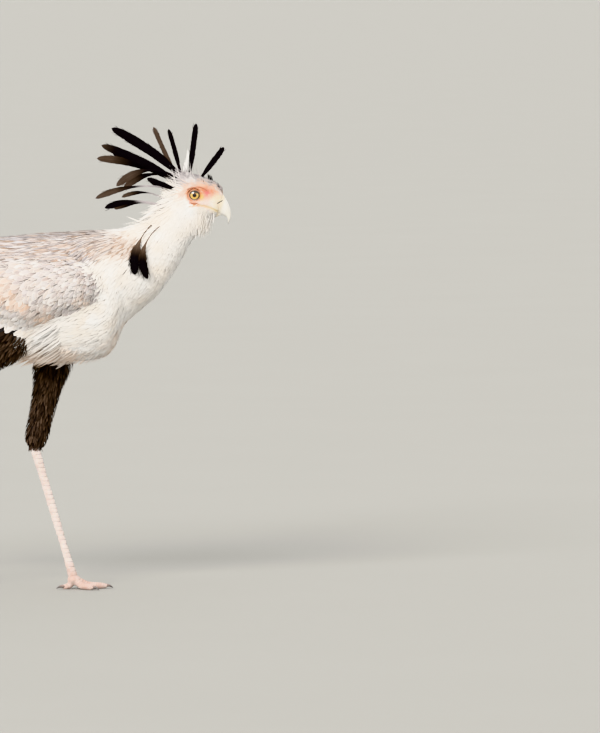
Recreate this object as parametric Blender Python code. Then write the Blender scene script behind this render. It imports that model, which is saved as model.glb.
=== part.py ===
"""Secretary bird in mid-stride, life size: a still model in separate solids.

Metres, +Z up, +X the way the bird faces, +Y its left. The floor is z = 0, and the origin lies on it
under the middle of the bird's length. Every soft solid reaches out to the tips of its feathers.
"""

import math

import bmesh
import bpy
import numpy as np

# ---- driving dimensions -------------------------------------------------------------------------

GAP = 0.0004  # clearance between neighbouring solids
RING_SIDES = 22  # points round the trunk, neck and head
LIMB_SIDES = 12
TOE_SIDES = 9
PLUME_SIDES = 6

# The body in the side view, vent to face: back point (x, z), belly point (x, z), half width.
TRUNK_STATIONS = (
    ((-0.070, 0.702), (-0.082, 0.654), 0.026),
    ((0.000, 0.728), (-0.012, 0.585), 0.064),
    ((0.100, 0.744), (0.095, 0.520), 0.087),
    ((0.215, 0.757), (0.212, 0.487), 0.096),
    ((0.310, 0.763), (0.318, 0.482), 0.094),
    ((0.362, 0.765), (0.378, 0.502), 0.085),
    ((0.395, 0.768), (0.403, 0.563), 0.073),
)
NECK_STATIONS = (
    ((0.430, 0.778), (0.470, 0.618), 0.058),
    ((0.455, 0.793), (0.521, 0.694), 0.046),
    ((0.478, 0.818), (0.545, 0.738), 0.040),
    ((0.494, 0.850), (0.562, 0.752), 0.036),
)
HEAD_STATIONS = (
    ((0.503, 0.876), (0.574, 0.760), 0.034),
    ((0.522, 0.886), (0.583, 0.768), 0.0325),
    ((0.546, 0.8805), (0.5895, 0.776), 0.031),
    ((0.568, 0.8730), (0.5950, 0.783), 0.027),
    ((0.589, 0.8645), (0.5990, 0.790), 0.0215),
    ((0.6065, 0.8515), (0.6020, 0.797), 0.0145),
)
BODY_STATIONS = TRUNK_STATIONS + NECK_STATIONS + HEAD_STATIONS
TRUNK_END = 6.5  # where the neck is parted from the trunk, counted in stations
NECK_END = 10.2
TRUNK_RINGS = 13
NECK_RINGS = 8
HEAD_RINGS = 11
KEEL = 0.12  # how far the widest part of a section lies above its middle
VENT_POLE = (-0.088, 0.0, 0.678)
FACE_POLE = (0.610, 0.0, 0.824)

# The bill: ridge point, cutting-edge point, half width.
UPPER_BILL_STATIONS = (
    ((0.596, 0.848), (0.583, 0.802), 0.0125),
    ((0.606, 0.843), (0.590, 0.7995), 0.0122),
    ((0.6155, 0.828), (0.597, 0.7965), 0.0105),
    ((0.6215, 0.812), (0.6025, 0.7945), 0.0086),
    ((0.6245, 0.797), (0.6085, 0.7895), 0.0060),
    ((0.6230, 0.784), (0.6140, 0.7820), 0.0036),
    ((0.6195, 0.7765), (0.6162, 0.7768), 0.0016),
)
UPPER_BILL_POLES = ((0.586, 0.0, 0.826), (0.6172, 0.0, 0.7735))
LOWER_BILL_STATIONS = (
    ((0.580, 0.8070), (0.579, 0.7880), 0.0095),
    ((0.590, 0.8050), (0.589, 0.7865), 0.0090),
    ((0.598, 0.8000), (0.5975, 0.7870), 0.0070),
    ((0.604, 0.7950), (0.6035, 0.7880), 0.0040),
)
LOWER_BILL_POLES = ((0.574, 0.0, 0.7945), (0.6062, 0.0, 0.7900))
BILL_RINGS = 8
BILL_SIDES = 10

EYE_CENTRE = (0.548, 0.0262, 0.835)
EYE_RADIUS = 0.0128
EYE_DEPTH = 0.0085  # half the eye's thickness from front to back
EYE_SEGMENTS = 14
EYE_RINGS = 8

# A folded wing: x, upper edge (y, z), outermost y, lower edge (y, z), thickness.
WING_STATIONS = (
    (0.354, 0.082, 0.655, 0.088, 0.083, 0.628, 0.005),
    (0.337, 0.072, 0.698, 0.103, 0.081, 0.598, 0.030),
    (0.300, 0.052, 0.730, 0.111, 0.083, 0.586, 0.040),
    (0.240, 0.034, 0.748, 0.114, 0.083, 0.566, 0.042),
    (0.160, 0.024, 0.751, 0.112, 0.080, 0.553, 0.042),
    (0.060, 0.018, 0.745, 0.102, 0.070, 0.570, 0.038),
    (-0.040, 0.015, 0.732, 0.084, 0.056, 0.585, 0.026),
    (-0.130, 0.022, 0.702, 0.066, 0.046, 0.594, 0.015),
    (-0.220, 0.041, 0.658, 0.057, 0.047, 0.600, 0.010),
    (-0.285, 0.050, 0.626, 0.054, 0.050, 0.610, 0.004),
)
WING_RINGS = 13
WING_SIDES = 14
WING_BEND_ROUND = 0.003  # how far the rounded front of the wing stands out
WING_TIP = (-0.300, 0.0515, 0.616)
WING_RIM = 0.0012  # least thickness at the wing's edges
QUILL_LINE = ((0.150, 0.536), (-0.150, 0.712))  # below and behind it the wing shows its black quills
QUILL_SLAB = (0.6, 0.5, 0.2)  # reach along the line, depth across it and breadth of the parting block

# The folded tail: x, height of its middle, half width, half thickness.
TAIL_STATIONS = (
    (-0.035, 0.682, 0.016, 0.010),
    (-0.120, 0.668, 0.025, 0.012),
    (-0.220, 0.648, 0.028, 0.011),
    (-0.330, 0.620, 0.042, 0.008),
    (-0.430, 0.594, 0.050, 0.005),
    (-0.462, 0.586, 0.044, 0.0022),
)
TAIL_RINGS = 10
TAIL_END = (-0.466, 0.585)
# Each of the two long middle tail feathers: x, z, distance of its shaft from the middle, half width.
STREAMER_STATIONS = (
    (-0.200, 0.6660, 0.0110, 0.0070),
    (-0.330, 0.6310, 0.0170, 0.0140),
    (-0.460, 0.5925, 0.0185, 0.0165),
    (-0.560, 0.5600, 0.0185, 0.0150),
    (-0.616, 0.5397, 0.0180, 0.0085),
)
STREAMER_TIP = (-0.6245, 0.5362, 0.0180)
STREAMER_HALF_THICKNESS = 0.0009
STREAMER_RINGS = 10

# Legs. The right leg trails and the left leg leads: thigh top, thigh end, ankle, foot joint.
LEG_POINTS = {
    "right": ((0.190, -0.056, 0.575), (-0.058, -0.052, 0.3440), (-0.062, -0.052, 0.3480),
              (-0.068, -0.046, 0.0270)),
    "left": ((0.268, 0.046, 0.565), (0.2085, 0.052, 0.3060), (0.2035, 0.052, 0.3150),
             (0.2910, 0.046, 0.0190)),
}
# Along the feathered thigh: share of its length, half depth in the side view, half width.
THIGH_SECTIONS = {
    "right": ((0.00, 0.042, 0.024), (0.07, 0.0570, 0.032), (0.15, 0.0590, 0.035), (0.32, 0.0425, 0.034),
              (0.52, 0.0365, 0.030), (0.75, 0.0310, 0.025), (0.92, 0.0275, 0.021), (1.00, 0.0235, 0.019)),
    "left": ((0.00, 0.044, 0.030), (0.30, 0.0430, 0.031), (0.55, 0.0340, 0.027), (0.80, 0.0298, 0.023),
             (0.95, 0.0285, 0.021), (1.01, 0.0240, 0.019)),
}
THIGH_END_ROUND = 0.006
THIGH_RINGS = 11
# Along the bare shank: share of its length, half depth, half width.
SHANK_SECTIONS = ((-0.03, 0.0090, 0.0078), (0.02, 0.0130, 0.0108), (0.10, 0.0112, 0.0086),
                  (0.50, 0.0096, 0.0072), (0.88, 0.0092, 0.0076), (0.97, 0.0105, 0.0105))
SHANK_RINGS = 9
SHANK_END_ROUND = 0.002

# Toes: name, turn outwards from straight ahead (degrees), length, radius at root and tip.
TOES = (
    ("inner", -34.0, 0.052, 0.0088, 0.0066),
    ("middle", 4.0, 0.070, 0.0094, 0.0068),
    ("outer", 40.0, 0.054, 0.0086, 0.0064),
    ("hind", 196.0, 0.026, 0.0076, 0.0056),
)
TOE_RINGS = 6
TOE_FALL = 0.42  # share of a toe's length over which it comes down from the joint to the floor
TOE_SINK = 0.82  # height of a toe's middle, in radii, so that its sole is cut flat
TOE_END_TAPER = 0.80
TOE_END_ROUND = 0.0021
FOOT_PAD = (0.0150, 0.0135, 0.0110)  # half sizes of the round pad under the foot joint
PAD_SEGMENTS = 10
PAD_RINGS = 6
CLAW_RINGS = 5
CLAW_SIDES = 7
CLAW_LENGTH = 0.017
CLAW_ROOT_RADIUS = 0.0044
CLAW_TAPER = 0.78  # share of the root radius lost towards the point
CLAW_SET = 0.005  # how deep a claw sits in its toe
CLAW_BOW = 0.0016
CLAW_POINT_HEIGHT = 0.0020
CLAW_END_ROUND = 0.0007
SOLE_CUT_SIZE = 1.0

# Crest plumes: station of the root on the body's back line, angle of the chord from +X (degrees), length,
# arch of the middle above the chord, half width, place across the head, and slant to the side.
CREST_PLUMES = (
    ("brow", 13.8, 53.0, 0.080, 0.000, 0.0066, -0.004, -0.05),
    ("crown", 12.65, 82.8, 0.107, 0.000, 0.0068, 0.006, 0.08),
    ("rear_crown", 11.75, 105.0, 0.098, 0.001, 0.0054, -0.008, -0.12),
    ("rear_crown_far", 11.2, 115.0, 0.115, -0.001, 0.0056, 0.010, 0.12),
    ("tall", 11.45, 146.0, 0.169, 0.0065, 0.0105, -0.002, -0.02),
    ("tall_far", 11.45, 146.0, 0.148, 0.0060, 0.0090, 0.014, 0.16),
    ("broad", 10.8, 154.7, 0.170, 0.0050, 0.0098, -0.011, -0.10),
    ("broad_far", 10.8, 156.0, 0.152, 0.0050, 0.0090, 0.020, 0.18),
    ("long", 10.8, 166.0, 0.168, 0.0090, 0.0092, 0.006, 0.05),
    ("droop", 11.1, 187.6, 0.130, 0.0240, 0.0084, -0.016, -0.10),
    ("droop_far", 11.0, 187.6, 0.122, 0.0230, 0.0080, 0.023, 0.18),
    ("short", 10.4, 158.2, 0.069, 0.000, 0.0062, -0.024, -0.30),
    ("short_far", 10.3, 160.0, 0.066, 0.000, 0.0062, 0.026, 0.30),
    ("curl", 10.0, 187.0, 0.161, 0.0140, 0.0072, -0.012, -0.06),
    ("curl_far", 9.25, 176.0, 0.096, 0.0130, 0.0050, 0.014, 0.12),
    ("nape", 8.8, 182.3, 0.119, 0.0115, 0.0076, -0.005, -0.04),
    ("nape_far", 8.75, 182.5, 0.102, 0.0110, 0.0066, 0.014, 0.14),
    ("nape_white", 8.9, 213.0, 0.062, 0.002, 0.0070, -0.018, -0.10),
)
# Plumes that hang down the side of the neck: path (x, z), half width, and clearance from the neck's surface.
NECK_PLUMES = (
    ("front", ((0.468, 0.764), (0.445, 0.735), (0.441, 0.700), (0.449, 0.664)), 0.0068, 0.0070),
    ("rear", ((0.452, 0.768), (0.432, 0.735), (0.424, 0.700), (0.427, 0.672)), 0.0085, 0.0028),
)
PLUME_HALF_THICKNESS = 0.0008
PLUME_RINGS = 7
PLUME_ROOT_DEPTH = 0.004  # how deep a plume's root reaches before the head is kept clear
PLUME_STEM = 0.34  # half width of the narrow stem, in half widths of the spoon-shaped end
PLUME_SPREAD = (0.12, 0.45)  # where the stem starts to widen and over what share of the length
PLUME_CLOSE = (0.80, 0.205)  # where the end starts to close and over what share of the length
PLUME_TIP = 0.22  # half width of the last section before the tip
NECK_PLUME_TIP = 0.003
SURVEY_RINGS = 96  # how finely the neck is surveyed to lay these plumes on it

COLOURS = {  # base colour, roughness
    "pale_plumage": ((0.80, 0.76, 0.72), 0.85),
    "grey_plumage": ((0.52, 0.50, 0.51), 0.80),
    "black_plumage": ((0.035, 0.030, 0.030), 0.65),
    "leg_skin": ((0.80, 0.62, 0.54), 0.55),
    "bill_horn": ((0.72, 0.74, 0.74), 0.35),
    "claw_horn": ((0.10, 0.09, 0.085), 0.40),
    "eye": ((0.62, 0.42, 0.16), 0.08),
}

# ---- small helpers ------------------------------------------------------------------------------


def clear_scene():
    for item in list(bpy.data.objects):
        bpy.data.objects.remove(item, do_unlink=True)


def new_collection(name):
    group = bpy.data.collections.new(name)
    bpy.context.scene.collection.children.link(group)
    return group


def material(name, finish):
    """A Principled material of one object's own, in one of the bird's finishes."""
    colour, roughness = COLOURS[finish]
    made = bpy.data.materials.new(name)
    made.use_nodes = True
    shader = made.node_tree.nodes["Principled BSDF"]
    shader.inputs["Base Color"].default_value = (*colour, 1.0)
    shader.inputs["Roughness"].default_value = roughness
    shader.inputs["Metallic"].default_value = 0.0
    return made


def spline(knots, values, samples):
    """Smooth curve through values at the knots: cubic pieces whose slopes follow the neighbouring points."""
    knots = np.asarray(knots, float)
    values = np.asarray(values, float)
    slopes = np.gradient(values, knots, axis=0)
    piece = np.clip(np.searchsorted(knots, samples, side="right") - 1, 0, len(knots) - 2)
    width = (knots[piece + 1] - knots[piece])[:, None]
    t = (np.asarray(samples)[:, None] - knots[piece][:, None]) / width
    start = (2 * t**3 - 3 * t**2 + 1) * values[piece] + (t**3 - 2 * t**2 + t) * width * slopes[piece]
    finish = (3 * t**2 - 2 * t**3) * values[piece + 1] + (t**3 - t**2) * width * slopes[piece + 1]
    return start + finish


def unit(vectors):
    vectors = np.asarray(vectors, float)
    return vectors / np.linalg.norm(vectors, axis=-1, keepdims=True)


def mirrored(point, side):
    """A point given for the left side, on the side asked for (+1 left, -1 right)."""
    return np.array((point[0], point[1] * side, point[2]), float)


def loft(rings, poles):
    """A closed mesh through rings of points, one after the other, with a pole point closing each end."""
    count, sides = rings.shape[:2]
    points = np.vstack((rings.reshape(-1, 3), poles))
    first, last = count * sides, count * sides + 1
    faces = []
    for k in range(sides):
        after = (k + 1) % sides
        faces.append((first, after, k))
        faces.append((last, (count - 1) * sides + k, (count - 1) * sides + after))
        for ring in range(count - 1):
            low = ring * sides
            faces.append((low + k, low + after, low + sides + after, low + sides + k))
    mesh = bpy.data.meshes.new("loft")
    mesh.from_pydata(points.tolist(), [], faces)
    shape = bmesh.new()
    shape.from_mesh(mesh)
    bmesh.ops.recalc_face_normals(shape, faces=shape.faces)
    shape.to_mesh(mesh)
    shape.free()
    return mesh


def ellipse_rings(centres, ups, sides_out, count):
    """Rings round the centres: up times the cosine plus sideways times the sine of the turn."""
    turn = np.linspace(0.0, 2.0 * math.pi, count, endpoint=False)
    cosine = np.cos(turn)[None, :, None]
    sine = np.sin(turn)[None, :, None]
    return centres[:, None, :] + ups[:, None, :] * cosine + sides_out[:, None, :] * sine


def add(name, mesh, finish, group):
    """An object of the bird, smooth, in its finish."""
    mesh.name = name
    made = bpy.data.objects.new(name, mesh)
    mesh.materials.append(material(name, finish))
    mesh.shade_smooth()
    group.objects.link(made)
    return made


def add_cutter(name, mesh):
    """A helper solid that only shapes others and is never shown."""
    cutter = bpy.data.objects.new(name, mesh)
    cutter.display_type = "WIRE"
    cutter.hide_render = True
    CUTTERS.objects.link(cutter)
    return cutter


def boolean(target, cutter, operation="DIFFERENCE"):
    step = target.modifiers.new(f"{operation.lower()}_{cutter.name}", "BOOLEAN")
    step.operation = operation
    step.solver = "EXACT"
    step.object = cutter


# ---- body ---------------------------------------------------------------------------------------


def ribbed_rings(stations, samples, count, grow=0.0, keel=0.0):
    """Rings across a shape given by its back and belly points and half widths, grown all round if asked."""
    back = np.array([s[0] for s in stations])
    belly = np.array([s[1] for s in stations])
    width = np.array([[s[2]] for s in stations])
    path = spline(np.arange(len(stations)), np.hstack((back, belly, width)), samples)
    top = np.stack((path[:, 0], np.zeros(len(path)), path[:, 1]), axis=1)
    bottom = np.stack((path[:, 2], np.zeros(len(path)), path[:, 3]), axis=1)
    centres = (top + bottom) / 2.0
    ups = (top - bottom) / 2.0
    ups += unit(ups) * grow
    turn = np.linspace(0.0, 2.0 * math.pi, count, endpoint=False)[None, :]
    across = (path[:, 4:5] + grow) * np.sin(turn) * (1.0 + keel * np.cos(turn))
    rings = centres[:, None, :] + ups[:, None, :] * np.cos(turn)[:, :, None]
    rings[:, :, 1] += across
    return rings


def ring_normal(ring):
    """The direction along the body at a ring, from vent to face."""
    up = ring[0] - ring[len(ring) // 2]
    forward = np.array((up[2], 0.0, -up[0]))
    return unit(forward)


def body_length(start, end, rings, grow=0.0, tail_pole=None, face_pole=None):
    """One length of the body between two stations, kept half a gap back from each parting cut."""
    sections = ribbed_rings(BODY_STATIONS, np.linspace(start, end, rings), RING_SIDES, grow, KEEL)
    if tail_pole is None:
        sections[0] += ring_normal(sections[0]) * (GAP / 2.0 - grow)
        tail_pole = sections[0].mean(axis=0)
    else:
        tail_pole = np.array(tail_pole) - ring_normal(sections[0]) * grow
    if face_pole is None:
        sections[-1] -= ring_normal(sections[-1]) * (GAP / 2.0 - grow)
        face_pole = sections[-1].mean(axis=0)
    else:
        face_pole = np.array(face_pole) + ring_normal(sections[-1]) * grow
    return loft(sections, (tail_pole, face_pole))


def trunk_mesh(grow=0.0):
    return body_length(0.0, TRUNK_END, TRUNK_RINGS, grow, tail_pole=VENT_POLE)


def neck_mesh(grow=0.0):
    return body_length(TRUNK_END, NECK_END, NECK_RINGS, grow)


def head_mesh(grow=0.0):
    return body_length(NECK_END, len(BODY_STATIONS) - 1, HEAD_RINGS, grow, face_pole=FACE_POLE)


def bill_mesh(stations, poles, grow=0.0):
    samples = np.linspace(0, len(stations) - 1, BILL_RINGS)
    rings = ribbed_rings(stations, samples, BILL_SIDES, grow)
    start = np.array(poles[0]) - unit(rings[1].mean(axis=0) - rings[0].mean(axis=0)) * grow
    end = np.array(poles[1]) + unit(rings[-1].mean(axis=0) - rings[-2].mean(axis=0)) * grow
    return loft(rings, (start, end))


def eye_mesh(side, grow=0.0):
    mesh = bpy.data.meshes.new("eye")
    shape = bmesh.new()
    bmesh.ops.create_uvsphere(shape, u_segments=EYE_SEGMENTS, v_segments=EYE_RINGS, radius=1.0)
    radius, depth = EYE_RADIUS + grow, EYE_DEPTH + grow
    centre = mirrored(EYE_CENTRE, side)
    for vertex in shape.verts:
        x, y, z = vertex.co
        vertex.co = (centre[0] + x * radius, centre[1] - z * depth, centre[2] + y * radius)
    shape.to_mesh(mesh)
    shape.free()
    return mesh


# ---- wings and tail -----------------------------------------------------------------------------


def wing_mesh(side, grow=0.0):
    """A folded wing: a bowed slab whose sections run from the upper edge round the bulge to the lower edge.

    A grown wing also gets thicker towards the body, so that its inner side stays clear of the first one's.
    """
    rows = np.array(WING_STATIONS)
    path = spline(np.arange(len(rows)), rows, np.linspace(0, len(rows) - 1, WING_RINGS))
    half = WING_SIDES // 2
    along = np.linspace(0.0, 1.0, half)[None, :]
    x, top_y, top_z, out_y, low_y, low_z, thick = (path[:, k : k + 1] for k in range(7))
    bow = 4.0 * along * (1.0 - along)
    outer_y = top_y * (1 - along) + low_y * along + (out_y - (top_y + low_y) / 2.0) * bow
    outer_z = top_z * (1 - along) + low_z * along
    rise = np.gradient(outer_z, axis=1)
    run = np.gradient(outer_y, axis=1)
    size = np.hypot(rise, run)
    inward = np.maximum(thick * np.sqrt(np.clip(bow, 0.0, 1.0)), WING_RIM) + 3.0 * grow
    outer_y = outer_y - rise / size * grow
    outer_z = outer_z + run / size * grow
    outer = np.stack((np.broadcast_to(x, outer_y.shape), outer_y, outer_z), axis=-1)
    outer[:, 0, 2] += grow
    outer[:, -1, 2] -= grow
    inner = outer.copy()
    inner[:, :, 1] -= inward
    rings = np.concatenate((outer, inner[:, ::-1]), axis=1)
    rings[:, :, 1] *= side
    bend = rings[0].mean(axis=0) + np.array((WING_BEND_ROUND + grow, 0.0, 0.0))
    tip = mirrored(WING_TIP, side) - np.array((grow, 0.0, 0.0))
    return loft(rings, (bend, tip))


def quill_slab(side, towards):
    """A block on one side of the slanting line that parts the wing's coverts from its quills."""
    start = np.array((QUILL_LINE[0][0], 0.0, QUILL_LINE[0][1]))
    end = np.array((QUILL_LINE[1][0], 0.0, QUILL_LINE[1][1]))
    along = unit(end - start)
    across = np.array((-along[2], 0.0, along[0])) * towards
    reach, depth, breadth = QUILL_SLAB
    low = start - along * reach - across * GAP / 2.0
    high = low + along * 2.0 * reach
    corners = np.array((low, high, high + across * depth, low + across * depth))
    rings = np.stack((corners, corners + np.array((0.0, breadth * side, 0.0))))
    return loft(rings, (rings[0].mean(axis=0), rings[1].mean(axis=0)))


def tail_mesh():
    """The folded tail: oval sections that flatten and widen towards its square end."""
    rows = np.array(TAIL_STATIONS)
    path = spline(np.arange(len(rows)), rows, np.linspace(0, len(rows) - 1, TAIL_RINGS))
    none = np.zeros(len(path))
    centres = np.stack((path[:, 0], none, path[:, 1]), axis=1)
    ups = np.stack((none, none, path[:, 3]), axis=1)
    across = np.stack((none, path[:, 2], none), axis=1)
    rings = ellipse_rings(centres, ups, across, LIMB_SIDES)
    return loft(rings, (centres[0], (TAIL_END[0], 0.0, TAIL_END[1])))


def blade(path, half_widths, across, half_thickness, tip):
    """A thin feather solid: lens-shaped sections along a path, lying flat to the across directions."""
    tangent = unit(np.gradient(path, axis=0))
    across = across - tangent * np.sum(across * tangent, axis=1, keepdims=True)
    across = unit(across)
    normal = np.cross(tangent, across)
    rings = ellipse_rings(path, normal * half_thickness, across * half_widths[:, None], PLUME_SIDES)
    return loft(rings, (path[0] - tangent[0] * half_thickness, tip))


def streamer_mesh(side):
    """One of the two long middle tail feathers."""
    rows = np.array(STREAMER_STATIONS)
    stops = spline(np.arange(len(rows)), rows, np.linspace(0, len(rows) - 1, STREAMER_RINGS))
    path = np.stack((stops[:, 0], stops[:, 2] * side, stops[:, 1]), axis=1)
    across = np.tile((0.0, 1.0, 0.0), (len(path), 1))
    tip = np.array((STREAMER_TIP[0], STREAMER_TIP[2] * side, STREAMER_TIP[1]))
    return blade(path, stops[:, 3], across, STREAMER_HALF_THICKNESS, tip)


# ---- legs ---------------------------------------------------------------------------------------


def limb_mesh(start, end, sections, rings, sides, end_round, grow=0.0):
    """A straight limb with oval sections, deep in the side view and narrow across."""
    start, end = np.array(start), np.array(end)
    rows = np.array(sections)
    share = np.linspace(rows[0, 0], rows[-1, 0], rings)
    sizes = spline(rows[:, 0], rows[:, 1:], share) + grow
    centres = start + (end - start) * share[:, None]
    along = unit(end - start)
    across = unit(np.array((0.0, 1.0, 0.0)) - along * along[1])
    depth = np.cross(across, along)
    shape = ellipse_rings(centres, depth * sizes[:, 0:1], across * sizes[:, 1:2], sides)
    reach = end_round + grow
    return loft(shape, (centres[0] - along * reach, centres[-1] + along * reach))


def toe_path(joint, heading, length, root_radius, tip_radius, share):
    """Middle of a toe: it runs down from the foot joint and then lies along the floor."""
    radius = root_radius + (tip_radius - root_radius) * share
    fall = np.clip(1.0 - share / TOE_FALL, 0.0, 1.0)
    ease = fall * fall * (3.0 - 2.0 * fall)
    flat = radius * TOE_SINK
    height = flat + (joint[2] - flat) * ease
    direction = np.array((math.cos(heading), math.sin(heading), 0.0))
    path = np.array((joint[0], joint[1], 0.0)) + direction * length * share[:, None]
    path[:, 2] += height
    return path, radius


def tube_mesh(path, radius, sides, end_round):
    """A round tube along a path that is never upright, with a low cone on each end."""
    tangent = unit(np.gradient(path, axis=0))
    across = unit(np.cross(tangent, (0.0, 0.0, 1.0)))
    up = np.cross(across, tangent)
    rings = ellipse_rings(path, up * radius[:, None], across * radius[:, None], sides)
    return loft(rings, (path[0] - tangent[0] * end_round, path[-1] + tangent[-1] * end_round))


def toe_mesh(joint, heading, toe):
    length, root_radius, tip_radius = toe[2:]
    share = np.linspace(0.0, 1.0, TOE_RINGS)
    path, radius = toe_path(joint, heading, length, root_radius, tip_radius, share)
    radius[-1] *= TOE_END_TAPER
    return tube_mesh(path, radius, TOE_SIDES, TOE_END_ROUND)


def claw_mesh(joint, heading, toe, grow=0.0):
    """A blunt claw, bowed down from inside the toe's end to just above the floor."""
    length, root_radius, tip_radius = toe[2:]
    toe_end = toe_path(joint, heading, length, root_radius, tip_radius, np.array((1.0,)))[0][0]
    forward = np.array((math.cos(heading), math.sin(heading), 0.0))
    share = np.linspace(0.0, 1.0, CLAW_RINGS)
    path = toe_end + forward * (share * CLAW_LENGTH - CLAW_SET)[:, None]
    path[:, 2] += CLAW_BOW * np.sin(share * math.pi) - (toe_end[2] - CLAW_POINT_HEIGHT) * share**2.2
    radius = CLAW_ROOT_RADIUS * (1.0 - CLAW_TAPER * share**1.3) + grow
    return tube_mesh(path, radius, CLAW_SIDES, CLAW_END_ROUND + grow)


def pad_mesh(joint):
    """The round pad under the foot joint that the toes grow out of."""
    mesh = bpy.data.meshes.new("pad")
    shape = bmesh.new()
    bmesh.ops.create_uvsphere(shape, u_segments=PAD_SEGMENTS, v_segments=PAD_RINGS, radius=1.0)
    for vertex in shape.verts:
        vertex.co = [joint[k] + vertex.co[k] * FOOT_PAD[k] for k in range(3)]
    shape.to_mesh(mesh)
    shape.free()
    return mesh


def floor_block():
    """Everything under the floor, to cut the soles flat."""
    mesh = bpy.data.meshes.new("below_floor")
    shape = bmesh.new()
    bmesh.ops.create_cube(shape, size=SOLE_CUT_SIZE)
    bmesh.ops.translate(shape, verts=shape.verts, vec=(0.0, 0.0, -SOLE_CUT_SIZE / 2.0))
    shape.to_mesh(mesh)
    shape.free()
    return mesh


def toe_heading(side, toe):
    """The way a toe points: turned outwards, away from the other foot."""
    return math.radians(toe[1]) * side


# ---- plumes -------------------------------------------------------------------------------------


def plume_widths(share, half_width):
    """A narrow stem that widens into a spoon-shaped end."""
    widened = np.clip((share - PLUME_SPREAD[0]) / PLUME_SPREAD[1], 0.0, 1.0)
    closed = np.clip((share - PLUME_CLOSE[0]) / PLUME_CLOSE[1], 0.0, 1.0)
    spread = PLUME_STEM + (1.0 - PLUME_STEM) * widened**1.2
    return half_width * spread * np.maximum(np.sqrt(1.0 - closed**2), PLUME_TIP)


def crest_plume_mesh(plume):
    """A plume that rises from the back line of the head and bows along its length."""
    station, angle, length, arch, half_width, across_head, slant = plume[1:]
    ring = ribbed_rings(BODY_STATIONS, np.array([station]), RING_SIDES, 0.0, KEEL)[0]
    turn = math.asin(np.clip(across_head / abs(ring[:, 1]).max(), -1.0, 1.0))
    centre = (ring[0] + ring[len(ring) // 2]) / 2.0
    root = centre + (ring[0] - centre) * math.cos(turn)
    root[1] = across_head
    heading = math.radians(angle)
    chord = unit((math.cos(heading), slant, math.sin(heading)))
    lift = np.array((-math.sin(heading), 0.0, math.cos(heading)))
    lift *= 1.0 if math.cos(heading) > 0 else -1.0
    share = np.linspace(0.0, 1.0, PLUME_RINGS)
    start = root - chord * PLUME_ROOT_DEPTH
    path = start + chord * ((length - 2.0 * PLUME_HALF_THICKNESS) * share)[:, None]
    path += lift * (4.0 * arch * share * (1.0 - share))[:, None]
    facing = unit((0.0, 1.0, 0.0) - chord * chord[1])
    across = np.cross(np.tile(facing, (len(path), 1)), unit(np.gradient(path, axis=0)))
    return blade(path, plume_widths(share, half_width), across, PLUME_HALF_THICKNESS, start + chord * length)


def side_reach(x, z):
    """Distance of the neck's side surface from the middle plane at a place in the side view."""
    samples = np.linspace(TRUNK_END - 1.0, NECK_END, SURVEY_RINGS)
    points = ribbed_rings(BODY_STATIONS, samples, SURVEY_RINGS, keel=KEEL).reshape(-1, 3)
    return abs(points[np.argmin(np.hypot(points[:, 0] - x, points[:, 2] - z)), 1])


def neck_plume_mesh(plume, side):
    """A plume that hangs down against the side of the neck."""
    clearance = plume[3]
    stops = np.array([(x, (side_reach(x, z) + clearance) * side, z) for x, z in plume[1]])
    knots = np.linspace(0.0, 1.0, len(stops))
    share = np.linspace(0.0, 1.0, PLUME_RINGS)
    path = spline(knots, stops, share)
    tangent = unit(np.gradient(path, axis=0))
    outward = np.tile((0.0, float(side), 0.0), (len(path), 1))
    across = np.cross(outward, tangent)
    tip = path[-1] + tangent[-1] * NECK_PLUME_TIP
    return blade(path, plume_widths(share, plume[2]), across, PLUME_HALF_THICKNESS, tip)


# ---- assembly -----------------------------------------------------------------------------------


def build_body():
    """Trunk, neck, head, bill and eyes."""
    add("trunk", trunk_mesh(), "pale_plumage", BIRD)
    add("neck", neck_mesh(), "pale_plumage", BIRD)
    head = add("head", head_mesh(), "pale_plumage", BIRD)
    add("bill_upper", bill_mesh(UPPER_BILL_STATIONS, UPPER_BILL_POLES), "bill_horn", BIRD)
    lower = add("bill_lower", bill_mesh(LOWER_BILL_STATIONS, LOWER_BILL_POLES), "bill_horn", BIRD)
    upper_room = add_cutter("upper_bill_room", bill_mesh(UPPER_BILL_STATIONS, UPPER_BILL_POLES, GAP))
    lower_room = add_cutter("lower_bill_room", bill_mesh(LOWER_BILL_STATIONS, LOWER_BILL_POLES, GAP))
    boolean(lower, upper_room)
    boolean(head, upper_room)
    boolean(head, lower_room)
    for side, name in SIDES:
        add(f"eye_{name}", eye_mesh(side), "eye", BIRD)
        boolean(head, add_cutter(f"eye_room_{name}", eye_mesh(side, GAP)))


def build_wings_and_tail():
    """Each folded wing in coverts and quills, the tail, and its two long feathers."""
    for side, name in SIDES:
        for part, finish, towards in (("wing", "grey_plumage", 1), ("quills", "black_plumage", -1)):
            piece = add(f"{part}_{name}", wing_mesh(side), finish, BIRD)
            boolean(piece, ROOMS["trunk"])
            boolean(piece, ROOMS["neck"])
            boolean(piece, add_cutter(f"{part}_part_{name}", quill_slab(side, towards)))
    tail = add("tail", tail_mesh(), "grey_plumage", BIRD)
    boolean(tail, ROOMS["trunk"])
    for side, name in SIDES:
        add(f"tail_streamer_{name}", streamer_mesh(side), "grey_plumage", BIRD)


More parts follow.
